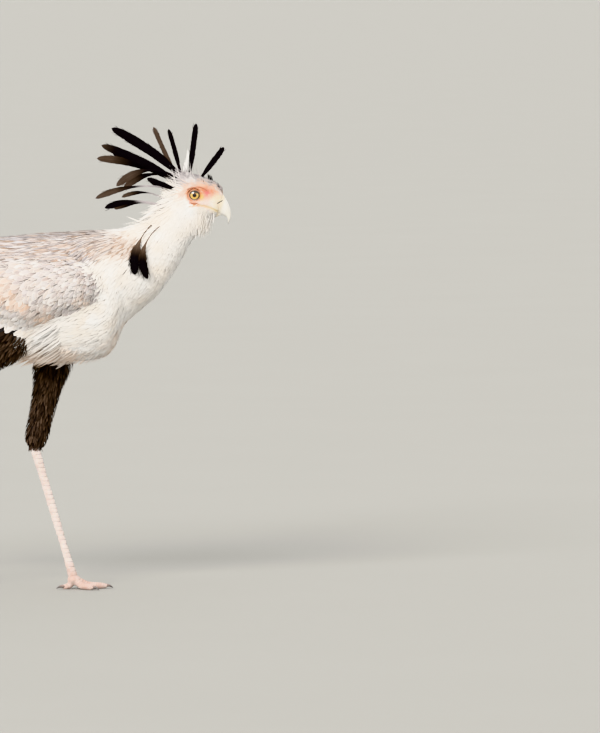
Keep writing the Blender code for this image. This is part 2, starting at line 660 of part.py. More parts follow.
def build_leg(side, name):
    """One leg: feathered thigh, bare shank, foot with its toes in one piece, and four claws."""
    top, end, ankle, joint = LEG_POINTS[name]
    thigh = limb_mesh(top, end, THIGH_SECTIONS[name], THIGH_RINGS, LIMB_SIDES, THIGH_END_ROUND)
    thigh = add(f"thigh_{name}", thigh, "black_plumage", BIRD)
    boolean(thigh, ROOMS["trunk"])
    boolean(thigh, ROOMS[f"wing_{name}"])
    shank = limb_mesh(ankle, joint, SHANK_SECTIONS, SHANK_RINGS, TOE_SIDES, SHANK_END_ROUND)
    add(f"shank_{name}", shank, "leg_skin", BIRD)
    shank_room = limb_mesh(ankle, joint, SHANK_SECTIONS, SHANK_RINGS, TOE_SIDES, SHANK_END_ROUND, GAP)
    shank_room = add_cutter(f"shank_room_{name}", shank_room)
    boolean(thigh, shank_room)
    foot = add(f"foot_{name}", pad_mesh(joint), "leg_skin", BIRD)
    for toe in TOES:
        heading = toe_heading(side, toe)
        boolean(foot, add_cutter(f"toe_{toe[0]}_{name}", toe_mesh(joint, heading, toe)), "UNION")
    boolean(foot, FLOOR)
    boolean(foot, shank_room)
    for toe in TOES:
        heading = toe_heading(side, toe)
        add(f"claw_{toe[0]}_{name}", claw_mesh(joint, heading, toe), "claw_horn", BIRD)
        room = claw_mesh(joint, heading, toe, GAP)
        boolean(foot, add_cutter(f"claw_room_{toe[0]}_{name}", room))


def build_plumes():
    """The crest on the back of the head and the plumes down each side of the neck."""
    for plume in CREST_PLUMES:
        finish = "pale_plumage" if "white" in plume[0] else "black_plumage"
        piece = add(f"crest_{plume[0]}", crest_plume_mesh(plume), finish, BIRD)
        boolean(piece, ROOMS["head"])
        boolean(piece, ROOMS["neck"])
    for side, name in SIDES:
        for plume in NECK_PLUMES:
            piece = add(f"neck_plume_{plume[0]}_{name}", neck_plume_mesh(plume, side), "black_plumage", BIRD)
            boolean(piece, ROOMS["neck"])
            boolean(piece, ROOMS["trunk"])


def make_rooms():
    """The space that each large solid takes up with its clearance, for cutting its neighbours."""
    rooms = {
        "trunk": add_cutter("trunk_room", trunk_mesh(GAP)),
        "neck": add_cutter("neck_room", neck_mesh(GAP)),
        "head": add_cutter("head_room", head_mesh(GAP)),
    }
    for side, name in SIDES:
        rooms[f"wing_{name}"] = add_cutter(f"wing_room_{name}", wing_mesh(side, GAP))
    return rooms


SIDES = ((1, "left"), (-1, "right"))
clear_scene()
BIRD = new_collection("secretary_bird")
CUTTERS = new_collection("cutters")
FLOOR = add_cutter("below_floor", floor_block())
ROOMS = make_rooms()
build_body()
build_wings_and_tail()
for leg_side, leg_name in SIDES:
    build_leg(leg_side, leg_name)
build_plumes()
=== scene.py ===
"""Secretary bird: skin, plumage, bill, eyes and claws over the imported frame, on a plain studio floor.

Metres, +Z up, +X the way the bird faces, +Y its left. Every feather is a thin closed blade whose root
stands on the skin and whose vane follows the lie of the coat.
"""

import collections
import itertools
import math

import bmesh
import bpy
import numpy as np
from bpy.props import FloatProperty, FloatVectorProperty, PointerProperty
from mathutils.bvhtree import BVHTree
from mathutils.kdtree import KDTree
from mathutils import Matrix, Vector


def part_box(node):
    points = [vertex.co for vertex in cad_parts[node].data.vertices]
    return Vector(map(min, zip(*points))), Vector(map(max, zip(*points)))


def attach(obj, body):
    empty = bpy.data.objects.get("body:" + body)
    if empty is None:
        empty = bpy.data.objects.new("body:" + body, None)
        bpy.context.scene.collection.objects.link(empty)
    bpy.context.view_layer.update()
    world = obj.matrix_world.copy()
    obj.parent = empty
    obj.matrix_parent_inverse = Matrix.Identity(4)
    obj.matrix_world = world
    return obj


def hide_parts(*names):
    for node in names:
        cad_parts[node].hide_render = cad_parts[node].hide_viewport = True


bl_info = {
    "name": "Secretary bird",
    "version": (1, 0, 0),
    "blender": (4, 5, 0),
    "location": "View3D > Sidebar > Bird",
    "description": "Skin, plumage, bill, eyes and claws of a life-size secretary bird",
    "category": "Object",
}

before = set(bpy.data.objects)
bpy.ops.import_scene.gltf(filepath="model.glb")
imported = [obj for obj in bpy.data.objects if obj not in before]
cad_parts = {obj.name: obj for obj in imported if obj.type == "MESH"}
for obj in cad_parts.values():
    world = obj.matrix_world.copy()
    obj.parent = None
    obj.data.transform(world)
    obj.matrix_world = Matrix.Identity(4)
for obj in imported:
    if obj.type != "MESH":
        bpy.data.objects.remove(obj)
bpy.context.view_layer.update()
BODY = "root"
SIDES = {"left": 1, "right": -1}
TOES = ("inner", "middle", "outer", "hind")

# ---- places on the bird ----

# Middle line of the trunk, neck and head in the side view (x, z), vent to face; one step is one station.
SPINE = (
    (-0.076, 0.678), (-0.006, 0.6565), (0.0975, 0.632), (0.2135, 0.622), (0.314, 0.6225), (0.370, 0.6335),
    (0.399, 0.6655), (0.450, 0.698), (0.488, 0.7435), (0.5115, 0.778), (0.528, 0.801), (0.5385, 0.818),
    (0.5525, 0.827), (0.568, 0.828), (0.5815, 0.828), (0.594, 0.827), (0.604, 0.824),
)
NECK_START = 6.4  # stations
HEAD_START = 10.2
LAST_STATION = 16.0
SPINE_STEPS = 8  # points per station on the smooth middle line

# Each limb's middle line from top to bottom: a wing's from its bend to its tip.
LIMB_LINES = {
    "thigh": {
        "left": ((0.268, 0.046, 0.565), (0.2085, 0.052, 0.306)),
        "right": ((0.190, -0.056, 0.575), (-0.058, -0.052, 0.344)),
    },
    "wing": {
        "left": ((0.350, 0.060, 0.650), (-0.300, 0.040, 0.620)),
        "right": ((0.350, -0.060, 0.650), (-0.300, -0.040, 0.620)),
    },
}

# Nodes of flesh under the one skin, by the kind of coat on them.
FLESH = {
    "body": ("trunk", "neck", "head"),
    "wing": ("wing_left", "wing_right"),
    "thigh": ("thigh_left", "thigh_right"),
    "bare": ("shank_left", "shank_right", "foot_left", "foot_right"),
}
KINDS = tuple(FLESH)
HORN_NODES = ("bill_upper", "bill_lower") + tuple(f"claw_{toe}_{side}" for toe in TOES for side in SIDES)
EYE_NODES = ("eye_left", "eye_right")
CREST_NODES = tuple(sorted(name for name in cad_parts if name.startswith("crest_")))
NECK_PLUME_NODES = tuple(sorted(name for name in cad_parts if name.startswith("neck_plume_")))

EYE_BOX = np.array(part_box("eye_left"))
EYE_CENTRE = EYE_BOX.mean(axis=0)
EYE_HALF = (EYE_BOX[1] - EYE_BOX[0]) / 2.0

NOSTRIL = ((0.5960, 0.8168), (0.6060, 0.8228))  # ends of the slit (x, z)
NOSTRIL_WIDTH = 0.0014
NOSTRIL_DEPTH = 0.0022
NOSTRIL_WALL = (0.30, 0.95)  # strengths of the slit between which its wall falls
NOSTRIL_DARK = (0.35, 0.85)  # strengths of the slit between which it turns black
CERE_SPAN = (0.578, 0.597)  # distance along X over which the creased skin turns to smooth cere
BILL_FOOT = 0.80  # height at which the foot of the bill lies at its own distance along X
BILL_LEAN = 0.35  # how far it leans forward above that, for each metre

LEG_TOP = 0.300  # what lies lower is bare
HIDDEN_LEG = (0.360, 0.400)  # heights, under the thighs' feathers, between which the legs' scales end
ANKLE = (0.020, 0.040)  # heights between which the toes' plates turn to the shank's
TOE_BACK = (0.034, 0.024)  # heights between which the toes' plates start
TOE_SCUTE = 0.0048  # length of the toes' plates
FOOT_MIDDLES = ((0.2913, 0.0458, 0.018), (-0.0676, -0.0462, 0.020))  # where each foot's toes meet

# ---- numbers and fields ----


def unit(vectors):
    """The vectors made one long."""
    return vectors / np.maximum(np.linalg.norm(vectors, axis=-1, keepdims=True), 1e-12)


def flattened(ways, normals):
    """The ways with the part that stands off the surface taken out, one long."""
    return unit(ways - normals * (ways * normals).sum(axis=-1, keepdims=True))


def ramp(values, low, high):
    """0 below low, 1 above high, and a smooth cubic between. Low may be the larger of the two."""
    t = np.clip((np.asarray(values, float) - low) / (high - low), 0.0, 1.0)
    return t * t * (3.0 - 2.0 * t)


def hump(values, centre, width):
    """1 at the centre, falling off as a bell curve of that width."""
    return np.exp(-(((np.asarray(values, float) - centre) / width) ** 2))


def knots(values, table):
    """Straight-line values between the knots of a table of (place, value)."""
    places, heights = zip(*table)
    return np.interp(values, places, heights)


def blend(first, second, share):
    """From the first colour to the second by the share."""
    share = np.clip(np.asarray(share, float), 0.0, 1.0)[..., None]
    return np.asarray(first, float) * (1.0 - share) + np.asarray(second, float) * share


HASH_FACTORS = np.array((73856093, 19349663, 83492791))  # large odd numbers that scatter the cells' numbers
HASH_SEED_FACTOR = 26544357
HASH_MIX = 1274126177
GRID_SHIFT = 57.3  # cells by which the noise is moved off the bird's middle plane


def lattice(cell, seed):
    """A fixed random value from -1 to 1 for each whole-numbered cell."""
    key = np.bitwise_xor.reduce(cell * HASH_FACTORS, axis=-1) ^ (seed * HASH_SEED_FACTOR)
    key = (key ^ (key >> 13)) * HASH_MIX
    key = key ^ (key >> 16)
    return (key & 0xFFFF) / 32767.5 - 1.0


def noise(points, cell_size, seed):
    """Smooth random values from -1 to 1: lattice values blended between the eight corners of each cell."""
    grid = np.asarray(points, float) / cell_size + GRID_SHIFT
    cell = np.floor(grid).astype(np.int64)
    part = grid - cell
    part = part * part * (3.0 - 2.0 * part)
    total = np.zeros(grid.shape[:-1])
    for corner in itertools.product((0, 1), repeat=3):
        corner = np.array(corner)
        total += np.prod(np.where(corner, part, 1.0 - part), axis=-1) * lattice(cell + corner, seed)
    return total


def spline(values, samples):
    """Smooth curve through equally spaced values: cubic pieces whose slopes follow the neighbours."""
    values = np.asarray(values, float)
    slopes = np.gradient(values, axis=0)
    piece = np.clip(np.floor(samples).astype(int), 0, len(values) - 2)
    t = (samples - piece)[:, None]
    start = (2 * t**3 - 3 * t**2 + 1) * values[piece] + (t**3 - 2 * t**2 + t) * slopes[piece]
    return start + (3 * t**2 - 2 * t**3) * values[piece + 1] + (t**3 - t**2) * slopes[piece + 1]


SPINE_SAMPLES = np.linspace(0.0, LAST_STATION, (len(SPINE) - 1) * SPINE_STEPS + 1)
SPINE_LINE = spline(SPINE, SPINE_SAMPLES)
SPINE_WAY = unit(np.gradient(SPINE_LINE, axis=0))


def body_place(points):
    """Station along the spine, signed angle round it (0 at the back, pi at the belly), way to the face."""
    side_view = points[:, (0, 2)]
    nearest = ((side_view[:, None, :] - SPINE_LINE[None]) ** 2).sum(axis=2).argmin(axis=1)
    way = SPINE_WAY[nearest]
    off = side_view - SPINE_LINE[nearest]
    above = off[:, 1] * way[:, 0] - off[:, 0] * way[:, 1]
    onward = np.stack((way[:, 0], np.zeros(len(way)), way[:, 1]), axis=1)
    return SPINE_SAMPLES[nearest], np.arctan2(points[:, 1], above), onward


def limb_place(points, line):
    """Share of the way down a limb's middle line, angle round it, and the way down it."""
    start, end = np.array(line)
    down = unit(end - start)
    off = points - start
    share = off @ down / np.linalg.norm(end - start)
    across = unit(np.cross(down, (0.0, 1.0, 0.0)))
    return share, np.arctan2(off @ np.cross(down, across), off @ across), np.tile(down, (len(points), 1))


# ---- meshes ----


def values_of(items, name, width=1, kind=np.int32):
    """A row of values for each of a mesh's items."""
    values = np.empty(len(items) * width, kind)
    items.foreach_get(name, values)
    return values.reshape(-1, width)


def mesh_arrays(mesh):
    """A mesh's points and triangles."""
    mesh.calc_loop_triangles()
    points = values_of(mesh.vertices, "co", 3, np.float32)
    return points.astype(float), values_of(mesh.loop_triangles, "vertices", 3)


def node_arrays(name):
    """A CAD node's points and triangles, with its loose triangles merged."""
    shape = bmesh.new()
    shape.from_mesh(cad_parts[name].data)
    bmesh.ops.remove_doubles(shape, verts=shape.verts, dist=1e-6)
    merged = bpy.data.meshes.new(name)
    shape.to_mesh(merged)
    shape.free()
    return mesh_arrays(merged)


def area_vectors(corners):
    """Twice each triangle's area along the way it faces: the cross product of two of its sides."""
    return np.cross(corners[:, 1] - corners[:, 0], corners[:, 2] - corners[:, 0])


def point_normals(points, triangles):
    """The way each point faces: the sum of its triangles' area vectors, made one long."""
    area = area_vectors(points[triangles])
    total = np.zeros_like(points)
    for k in range(3):
        np.add.at(total, triangles[:, k], area)
    return unit(total)


def smoothed(values, triangles, count, share=0.5):
    """Each point's value moved towards the mean of its neighbours', count times."""
    start = triangles.ravel()
    end = np.roll(triangles, -1, axis=1).ravel()
    number = np.maximum(np.bincount(start, minlength=len(values)), 1)[:, None]
    flat = np.array(values, float).reshape(len(values), -1)
    for _ in range(count):
        total = [np.bincount(start, column[end], len(flat)) for column in flat.T]
        flat = flat + share * (np.stack(total, axis=1) / number - flat)
    return flat.reshape(np.shape(values))


def facing_out(points, triangles):
    """The triangles, turned where needed so that the closed surface has a positive volume."""
    corner = points[triangles]
    volume = np.einsum("ij,ij->", corner[:, 0], np.cross(corner[:, 1], corner[:, 2]))
    return triangles if volume > 0 else triangles[:, ::-1]


def new_mesh(name, points, triangles):
    """A smooth-shaded mesh of triangles."""
    mesh = bpy.data.meshes.new(name)
    mesh.vertices.add(len(points))
    mesh.vertices.foreach_set("co", np.asarray(points, np.float32).ravel())
    mesh.loops.add(len(triangles) * 3)
    mesh.loops.foreach_set("vertex_index", np.asarray(triangles, np.int32).ravel())
    mesh.polygons.add(len(triangles))
    mesh.polygons.foreach_set("loop_start", np.arange(len(triangles), dtype=np.int32) * 3)
    mesh.update(calc_edges=True)
    mesh.shade_smooth()
    return mesh


def set_tint(mesh, tint, rim=1.0):
    """Stores each point's colour, with the strength of the pale rim as its fourth value."""
    colours = np.ones((len(tint), 4), np.float32)
    colours[:, :3] = np.clip(tint, 0.0, 1.0)
    colours[:, 3] = rim
    layer = mesh.color_attributes.new("Tint", "FLOAT_COLOR", "POINT")
    layer.data.foreach_set("color", colours.ravel())


def set_map(mesh, name, places):
    """Stores a flat map from each point's place on it."""
    corners = values_of(mesh.loops, "vertex_index")[:, 0]
    layer = mesh.uv_layers.new(name=name)
    layer.data.foreach_set("uv", np.asarray(places, np.float32)[corners].ravel())


def placed(name, data):
    """A new object in the scene, at the origin."""
    made = bpy.data.objects.new(name, data)
    bpy.context.scene.collection.objects.link(made)
    return made


def show(name, mesh, material, replaced):
    """The mesh as an object at the origin that rides on the bird in place of its CAD nodes."""
    mesh.materials.append(material)
    piece = placed(name, mesh)
    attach(piece, BODY)
    if replaced:
        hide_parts(*replaced)
    return piece


def ring_triangles(rows, columns):
    """Triangles of rings of points, one ring after another, with a pole before and after them.

    Ring points come first, row by row, then the first pole and the last.
    """
    k = np.arange(columns)
    after = (k + 1) % columns
    row = np.arange(rows - 1)[:, None] * columns
    a, b = row + k, row + after
    c, d = a + columns, b + columns
    sides = np.stack((np.stack((a, b, d), -1), np.stack((a, d, c), -1)), axis=2).reshape(-1, 3)
    last = (rows - 1) * columns
    first_cap = np.stack((np.full(columns, rows * columns), after, k), axis=1)
    last_cap = np.stack((np.full(columns, rows * columns + 1), last + k, last + after), axis=1)
    return np.vstack((sides, first_cap, last_cap))


def closed_loft(rings, first_pole, last_pole):
    """A closed surface through rings of points, from pole to pole, facing outwards."""
    rows, columns = rings.shape[:2]
    points = np.vstack((rings.reshape(-1, 3), [first_pole], [last_pole]))
    return points, facing_out(points, ring_triangles(rows, columns))


class Surface:
    """A closed surface that gives its nearest point and the way it faces there."""

    def __init__(self, points, triangles):
        self.points = points
        self.triangles = triangles
        self.normals = point_normals(points, triangles)
        self.tree = BVHTree.FromPolygons(points.tolist(), triangles.tolist())

    def nearest(self, places):
        """Nearest points on the surface, the triangles they lie on, and how far away they are."""
        found = [self.tree.find_nearest(place) for place in places.tolist()]
        near = np.array([hit[0] for hit in found])
        return near, np.array([hit[2] for hit in found]), np.array([hit[3] for hit in found])

    def settle(self, places):
        """Nearest points on the surface, with its smooth normals there."""
        near, index, _ = self.nearest(places)
        corners = self.triangles[index]
        gaps = np.linalg.norm(self.points[corners] - near[:, None], axis=2)
        weight = 1.0 / (gaps + 1e-5)
        return near, unit((self.normals[corners] * weight[:, :, None]).sum(axis=1))

    def depth(self, places, ways, furthest):
        """How far it is from each place along its way to the surface, up to the furthest."""
        hits = [self.tree.ray_cast(place, way) for place, way in zip(places.tolist(), ways.tolist())]
        return np.array([furthest if hit[3] is None else min(hit[3], furthest) for hit in hits])


# ---- materials ----

RIM_COLOUR = (0.86, 0.82, 0.77, 1.0)

# Parts of a vane: half widths and lengths between which the shaft, the sides' rims and the end's rim lie.
SHAFT_SPAN = (0.010, 0.040)
SIDE_RIM = (0.30, 0.49)
END_RIM = (0.86, 0.99)
BARB_SLANT = 0.45  # how far the barbs run ahead at the vane's edge, in shares of the vane's length
BARB_WOBBLE = 1.6  # barbs

# Kinds of vane: barbs along it, contrast, the shaft's brightness, gloss, roughness, height of the bumps.
VANES = {
    "fine_feather": (9.0, 0.04, 1.0, 0.15, 0.85, 0.00001),
    "soft_feather": (20.0, 0.05, 0.98, 0.15, 0.85, 0.00003),
    "covert_feather": (30.0, 0.12, 0.88, 0.15, 0.80, 0.00005),
    "dark_feather": (90.0, 0.25, 1.4, 0.07, 0.60, 0.0001),
}

FACE_CELLS = 1400.0  # creased cells of the skin to the metre
LEG_CELLS = 420.0
CREASE_SPAN = (0.0, 0.20)  # share of a cell's half width over which its crease ends
PLATE_EDGE = 0.0011  # width of the groove between two plates of the leg
PLATE_WAVER = 0.004  # how far the grooves stray
SHANK_FRONT = (-0.60, -0.15)  # how far forwards the skin faces where the plates start and are full
TOE_TOP = (0.0, 0.40)  # how far upwards the toes' skin faces there


def new_material(name, roughness, sockets):
    """A Principled material with its fixed values on the shader's own sockets."""
    made = bpy.data.materials.new(name)
    made.use_nodes = True
    shader = made.node_tree.nodes["Principled BSDF"]
    shader.inputs["Roughness"].default_value = roughness
    for socket, value in sockets.items():
        shader.inputs[socket].default_value = value
    return made, made.node_tree, shader


def add_node(tree, kind, inputs, output=0, **settings):
    """Output of a new shader node, whose inputs are values or outputs of other nodes."""
    node = tree.nodes.new(kind)
    for key, value in settings.items():
        setattr(node, key, value)
    for key, value in inputs.items():
        if isinstance(value, bpy.types.NodeSocket):
            tree.links.new(value, node.inputs[key])
        else:
            node.inputs[key].default_value = value
    return node.outputs[output]


def calc(tree, operation, first, second=0.0):
    """One sum of two values."""
    return add_node(tree, "ShaderNodeMath", {0: first, 1: second}, operation=operation)


def product(tree, first, *others):
    """The values multiplied together."""
    for other in others:
        first = calc(tree, "MULTIPLY", first, other)
    return first


def axis_of(tree, vector, axis):
    """One coordinate of a vector, by its number."""
    return add_node(tree, "ShaderNodeSeparateXYZ", {0: vector}, output=axis)


def span(tree, value, low, high, to_low=0.0, to_high=1.0):
    """The value carried from low..high to to_low..to_high, and held at the ends."""
    inputs = {"Value": value, "From Min": low, "From Max": high, "To Min": to_low, "To Max": to_high}
    return add_node(tree, "ShaderNodeMapRange", inputs)


def shade(tree, colour, factor, low, high):
    """The colour times low to high as the factor goes from 0 to 1."""
    scale = span(tree, factor, 0.0, 1.0, low, high)
    return add_node(tree, "ShaderNodeVectorMath", {0: colour, "Scale": scale}, operation="SCALE")


def mix(tree, factor, first, second, kind):
    """From the first to the second by the factor: colours or values, as the kind says."""
    inputs = {"Factor": factor, "A": first, "B": second}
    return add_node(tree, "ShaderNodeMix", inputs, output="Result", data_type=kind)


def tint_of(tree, output="Color"):
    """The piece's own colour at each point, or the strength of its pale rim as Alpha."""
    return add_node(tree, "ShaderNodeAttribute", {}, output, attribute_name="Tint")


def place_of(tree, output="Object"):
    """The place on the piece, or the way it faces there as Normal."""
    return add_node(tree, "ShaderNodeTexCoord", {}, output)


def grain(tree, scale, detail=3.0, stretch=(1.0, 1.0, 1.0)):
    """Noise over the object's own coordinates, stretched along the axes."""
    place = add_node(tree, "ShaderNodeMapping", {"Vector": place_of(tree), "Scale": stretch})
    return add_node(tree, "ShaderNodeTexNoise", {"Vector": place, "Scale": scale, "Detail": detail})


def finish_material(tree, shader, colour, height, distance):
    """Joins the colour and the bumps to the shader."""
    tree.links.new(colour, shader.inputs["Base Color"])
    relief = add_node(tree, "ShaderNodeBump", {"Height": height, "Distance": distance})
    tree.links.new(relief, shader.inputs["Normal"])


def feather_material(name, barbs, contrast, shaft, gloss, roughness, distance):
    """Vane of a feather: slanting barbs on both sides of a shaft, with a pale rim.

    The barbs are a sine wave along the vane that runs ahead with the distance from the shaft. The rim's
    strength is the fourth value of the tint.
    """
    made, tree, shader = new_material(name, roughness, {"Specular IOR Level": gloss})
    vane = add_node(tree, "ShaderNodeUVMap", {}, uv_map="Vane")
    along = axis_of(tree, vane, 1)
    off = calc(tree, "ABSOLUTE", calc(tree, "SUBTRACT", axis_of(tree, vane, 0), 0.5))
    ahead = product(tree, off, barbs * BARB_SLANT)
    turns = calc(tree, "SUBTRACT", product(tree, along, barbs), ahead)
    turns = calc(tree, "ADD", turns, product(tree, grain(tree, 300.0), BARB_WOBBLE))
    wave = span(tree, calc(tree, "SINE", product(tree, turns, 2.0 * math.pi)), -1.0, 1.0)
    beside = span(tree, off, *SHAFT_SPAN)
    rim = calc(tree, "MAXIMUM", span(tree, off, *SIDE_RIM), span(tree, along, *END_RIM))
    rim = product(tree, rim, tint_of(tree, "Alpha"))
    colour = mix(tree, rim, tint_of(tree), RIM_COLOUR, "RGBA")
    colour = shade(tree, colour, wave, 1.0 - contrast, 1.0 + 0.4 * contrast)
    colour = shade(tree, colour, grain(tree, 55.0), 1.0 - contrast, 1.0 + contrast)
    colour = shade(tree, colour, beside, shaft, 1.0)
    height = calc(tree, "SUBTRACT", wave, product(tree, beside, 1.5))
    finish_material(tree, shader, colour, height, distance)
    return made


def vane_material(name):
    """The material of one kind of vane, made when first asked for."""
    return bpy.data.materials.get(name) or feather_material(name, *VANES[name])


def plates(tree, height):
    """1 on the plates of the legs and toes, 0 in the grooves between them.

    A groove runs round where the height, or on the foot the distance from its middle, reaches a whole
    number of plates.
    """
    reaches = [
        add_node(tree, "ShaderNodeVectorMath", {0: place_of(tree), 1: middle}, "Value", operation="DISTANCE")
        for middle in FOOT_MIDDLES
    ]
    reach = product(tree, calc(tree, "MINIMUM", *reaches), size("scute") / TOE_SCUTE)
    waver = product(tree, calc(tree, "SUBTRACT", grain(tree, 90.0), 0.5), PLATE_WAVER)
    measure = mix(tree, span(tree, height, *ANKLE), reach, height, "FLOAT")
    off = calc(tree, "PINGPONG", calc(tree, "ADD", measure, waver), size("scute") / 2.0)
    return span(tree, off, 0.0, PLATE_EDGE)


def skin_material():
    """Bare skin: creased cells and pores over the skin's own colours, plates on the legs, a slight gloss;
    painted shade darkens the creases and the grooves between the plates.
    """
    sockets = {
        "Specular IOR Level": 0.35, "Subsurface Weight": 0.06, "Subsurface Radius": (0.004, 0.002, 0.001),
    }
    made, tree, shader = new_material("bird_skin", 0.55, sockets)
    facing = place_of(tree, "Normal")
    height = axis_of(tree, place_of(tree), 2)
    leg = span(tree, height, HIDDEN_LEG[1], HIDDEN_LEG[0])
    cells = {"Vector": place_of(tree), "Scale": span(tree, leg, 0.0, 1.0, FACE_CELLS, LEG_CELLS)}
    cells = add_node(tree, "ShaderNodeTexVoronoi", cells, feature="DISTANCE_TO_EDGE")
    front = span(tree, axis_of(tree, facing, 0), *SHANK_FRONT)
    front = product(tree, front, leg, span(tree, height, *ANKLE))
    upper = product(tree, span(tree, axis_of(tree, facing, 2), *TOE_TOP), span(tree, height, *TOE_BACK))
    plated = calc(tree, "MAXIMUM", front, upper)
    groove = product(tree, calc(tree, "SUBTRACT", 1.0, plates(tree, height)), plated)
    edge = span(tree, groove, 0.0, 1.0, 1.0, 0.0)
    waxy = span(tree, axis_of(tree, place_of(tree), 0), *CERE_SPAN)
    smooth = calc(tree, "MAXIMUM", plated, waxy)
    crease = calc(tree, "MAXIMUM", span(tree, cells, *CREASE_SPAN), smooth)
    # painted shade: each cell darker along its creases
    colour = shade(tree, tint_of(tree), crease, 0.91, 1.02)
    # painted shade: the grooves between the leg's plates darker
    colour = shade(tree, colour, edge, 0.62, 1.0)
    colour = shade(tree, colour, grain(tree, 900.0), 0.86, 1.14)
    colour = shade(tree, colour, grain(tree, 70.0), 0.90, 1.10)
    relief = calc(tree, "ADD", product(tree, edge, 4.0), grain(tree, 900.0))
    finish_material(tree, shader, colour, calc(tree, "ADD", crease, relief), 0.00012)
    return made


def horn_material(name, roughness, stretch):
    """Horn: growth lines along it under a satin gloss."""
    sockets = {"Specular IOR Level": 0.5, "Coat Weight": 0.25, "Coat Roughness": 0.25}
    made, tree, shader = new_material(name, roughness, sockets)
    lines = grain(tree, 1.0, 5.0, stretch)
    colour = shade(tree, tint_of(tree), lines, 0.80, 1.16)
    colour = shade(tree, colour, grain(tree, 420.0), 0.93, 1.06)
    finish_material(tree, shader, colour, lines, 0.0002)
    return made


def eye_material():
    """Wet eye: the iris's rays are in the tint, under a clear gloss."""
    sockets = {"Specular IOR Level": 0.5, "Coat Weight": 1.0, "Coat Roughness": 0.02}
    made, tree, shader = new_material("bird_eye", 0.15, sockets)
    colour = shade(tree, tint_of(tree), grain(tree, 1500.0), 0.85, 1.15)
    tree.links.new(colour, shader.inputs["Base Color"])
    return made


def floor_material():
    """Plain matt floor with a very faint mottle."""
    made, tree, shader = new_material("studio_floor", 0.9, {"Specular IOR Level": 0.1})
    pale = add_node(tree, "ShaderNodeRGB", {})
    pale.default_value = (*bpy.context.scene.bird_stage.floor_colour, 1.0)
    tree.links.new(shade(tree, pale, grain(tree, 2.0), 0.985, 1.015), shader.inputs["Base Color"])
    return made


# ---- the user's settings ----


def colour_setting(label, text, default):
    """A colour the user can change."""
    limits = {"min": 0.0, "max": 1.0}
    return FloatVectorProperty(name=label, description=text, subtype="COLOR", default=default, **limits)


def length_setting(label, text, default):
    """A length in metres the user can change."""
    return FloatProperty(name=label, description=text, unit="LENGTH", default=default, min=0.0, precision=4)


class BirdColours(bpy.types.PropertyGroup):
    """Colours of the plumage, the bare skin and the horn."""

    white: colour_setting("White", "Neck, breast and cheeks", (0.88, 0.87, 0.855))
    cream: colour_setting("Cream", "Warm tone in the white plumage", (0.86, 0.76, 0.65))
    peach: colour_setting("Peach", "Belly fringe and warm patches of the wing", (0.78, 0.50, 0.32))
    lilac: colour_setting("Lilac grey", "Crown, mantle and wing coverts", (0.42, 0.385, 0.39))
    slate: colour_setting("Slate", "Rump and tail", (0.30, 0.29, 0.31))
    tan: colour_setting("Tan", "Streaks of the mantle and the shoulder patch", (0.34, 0.225, 0.155))
    black: colour_setting("Black", "Crest, flight feathers and thighs", (0.006, 0.005, 0.006))
    brown_black: colour_setting("Brown black", "Faded ends of the black feathers", (0.100, 0.072, 0.056))
    face_peach: colour_setting("Face peach", "Palest bare skin of the face", (0.80, 0.54, 0.40))
    face_orange: colour_setting("Face orange", "Bare skin round the eye", (0.72, 0.25, 0.09))
    face_pink: colour_setting("Face pink", "Bare skin in front of the eye", (0.78, 0.22, 0.22))
    face_yellow: colour_setting("Face yellow", "Gape and the spot before the eye", (0.80, 0.56, 0.16))
    # Partly the skin's own dark red, partly painted shade along the face's creases; also the ring round the
    # pupil and darker patches of the orange skin.
    fold: colour_setting("Fold", "Creases of the face", (0.30, 0.07, 0.03))
    cere: colour_setting("Cere", "Waxy skin at the foot of the bill", (0.80, 0.70, 0.54))
    bill: colour_setting("Bill", "Horn of the bill", (0.76, 0.73, 0.67))
    iris: colour_setting("Iris", "Iris of the eye", (0.60, 0.38, 0.09))
    leg: colour_setting("Leg", "Bare shanks", (0.70, 0.625, 0.59))
    leg_shade: colour_setting("Leg shade", "Toes, soles and creases of the legs", (0.50, 0.35, 0.30))
    claw: colour_setting("Claw", "Horn of the claws", (0.10, 0.085, 0.08))


class BirdSizes(bpy.types.PropertyGroup):
    """Depths of the coat and sizes of the feathers."""

    voxel: length_setting("Skin grid", "Cell of the grid that joins the solids into one skin", 0.0048)
    wing_depth: length_setting("Wing coat", "Depth of the skin under the wing's feather tips", 0.0050)
    thigh_depth: length_setting("Thigh coat", "Depth of the skin under the thigh's feather tips", 0.0070)
    eye_opening: length_setting("Eye opening", "Radius of the gap between the lids", 0.0100)
    iris: length_setting("Iris radius", "Radius of the coloured ring of the eye", 0.0088)
    pupil: length_setting("Pupil radius", "Radius of the pupil", 0.0041)
    scute: length_setting("Scute length", "Length of the plates down the front of the shank", 0.0095)
    spacing: FloatProperty(name="Spacing", description="Multiplies all gaps between feathers", default=1.0)


class BirdStage(bpy.types.PropertyGroup):
    """Floor, lights and camera."""

    floor_colour: colour_setting("Floor", "Colour of the studio floor", (0.36, 0.355, 0.335))
    key_strength: FloatProperty(name="Key", description="Strength of the sun-like key light", default=3.3)
    fill_strength: FloatProperty(name="Fill", description="Strength of the pale surroundings", default=1.20)
    lens: FloatProperty(name="Lens", description="Focal length of the camera", unit="CAMERA", default=280.6)


def hue(name):
    """One of the user's colours, as linear red, green and blue."""
    return np.array(getattr(bpy.context.scene.bird_colours, name))


def size(name):
    """One of the user's sizes."""
    return getattr(bpy.context.scene.bird_sizes, name)


def painted(tint, *layers):
    """The tint with each layer, a colour's name and how much of it covers, laid over it in turn."""
    for name, share in layers:
        tint = blend(tint, hue(name), share)
    return tint


# ---- markings ----

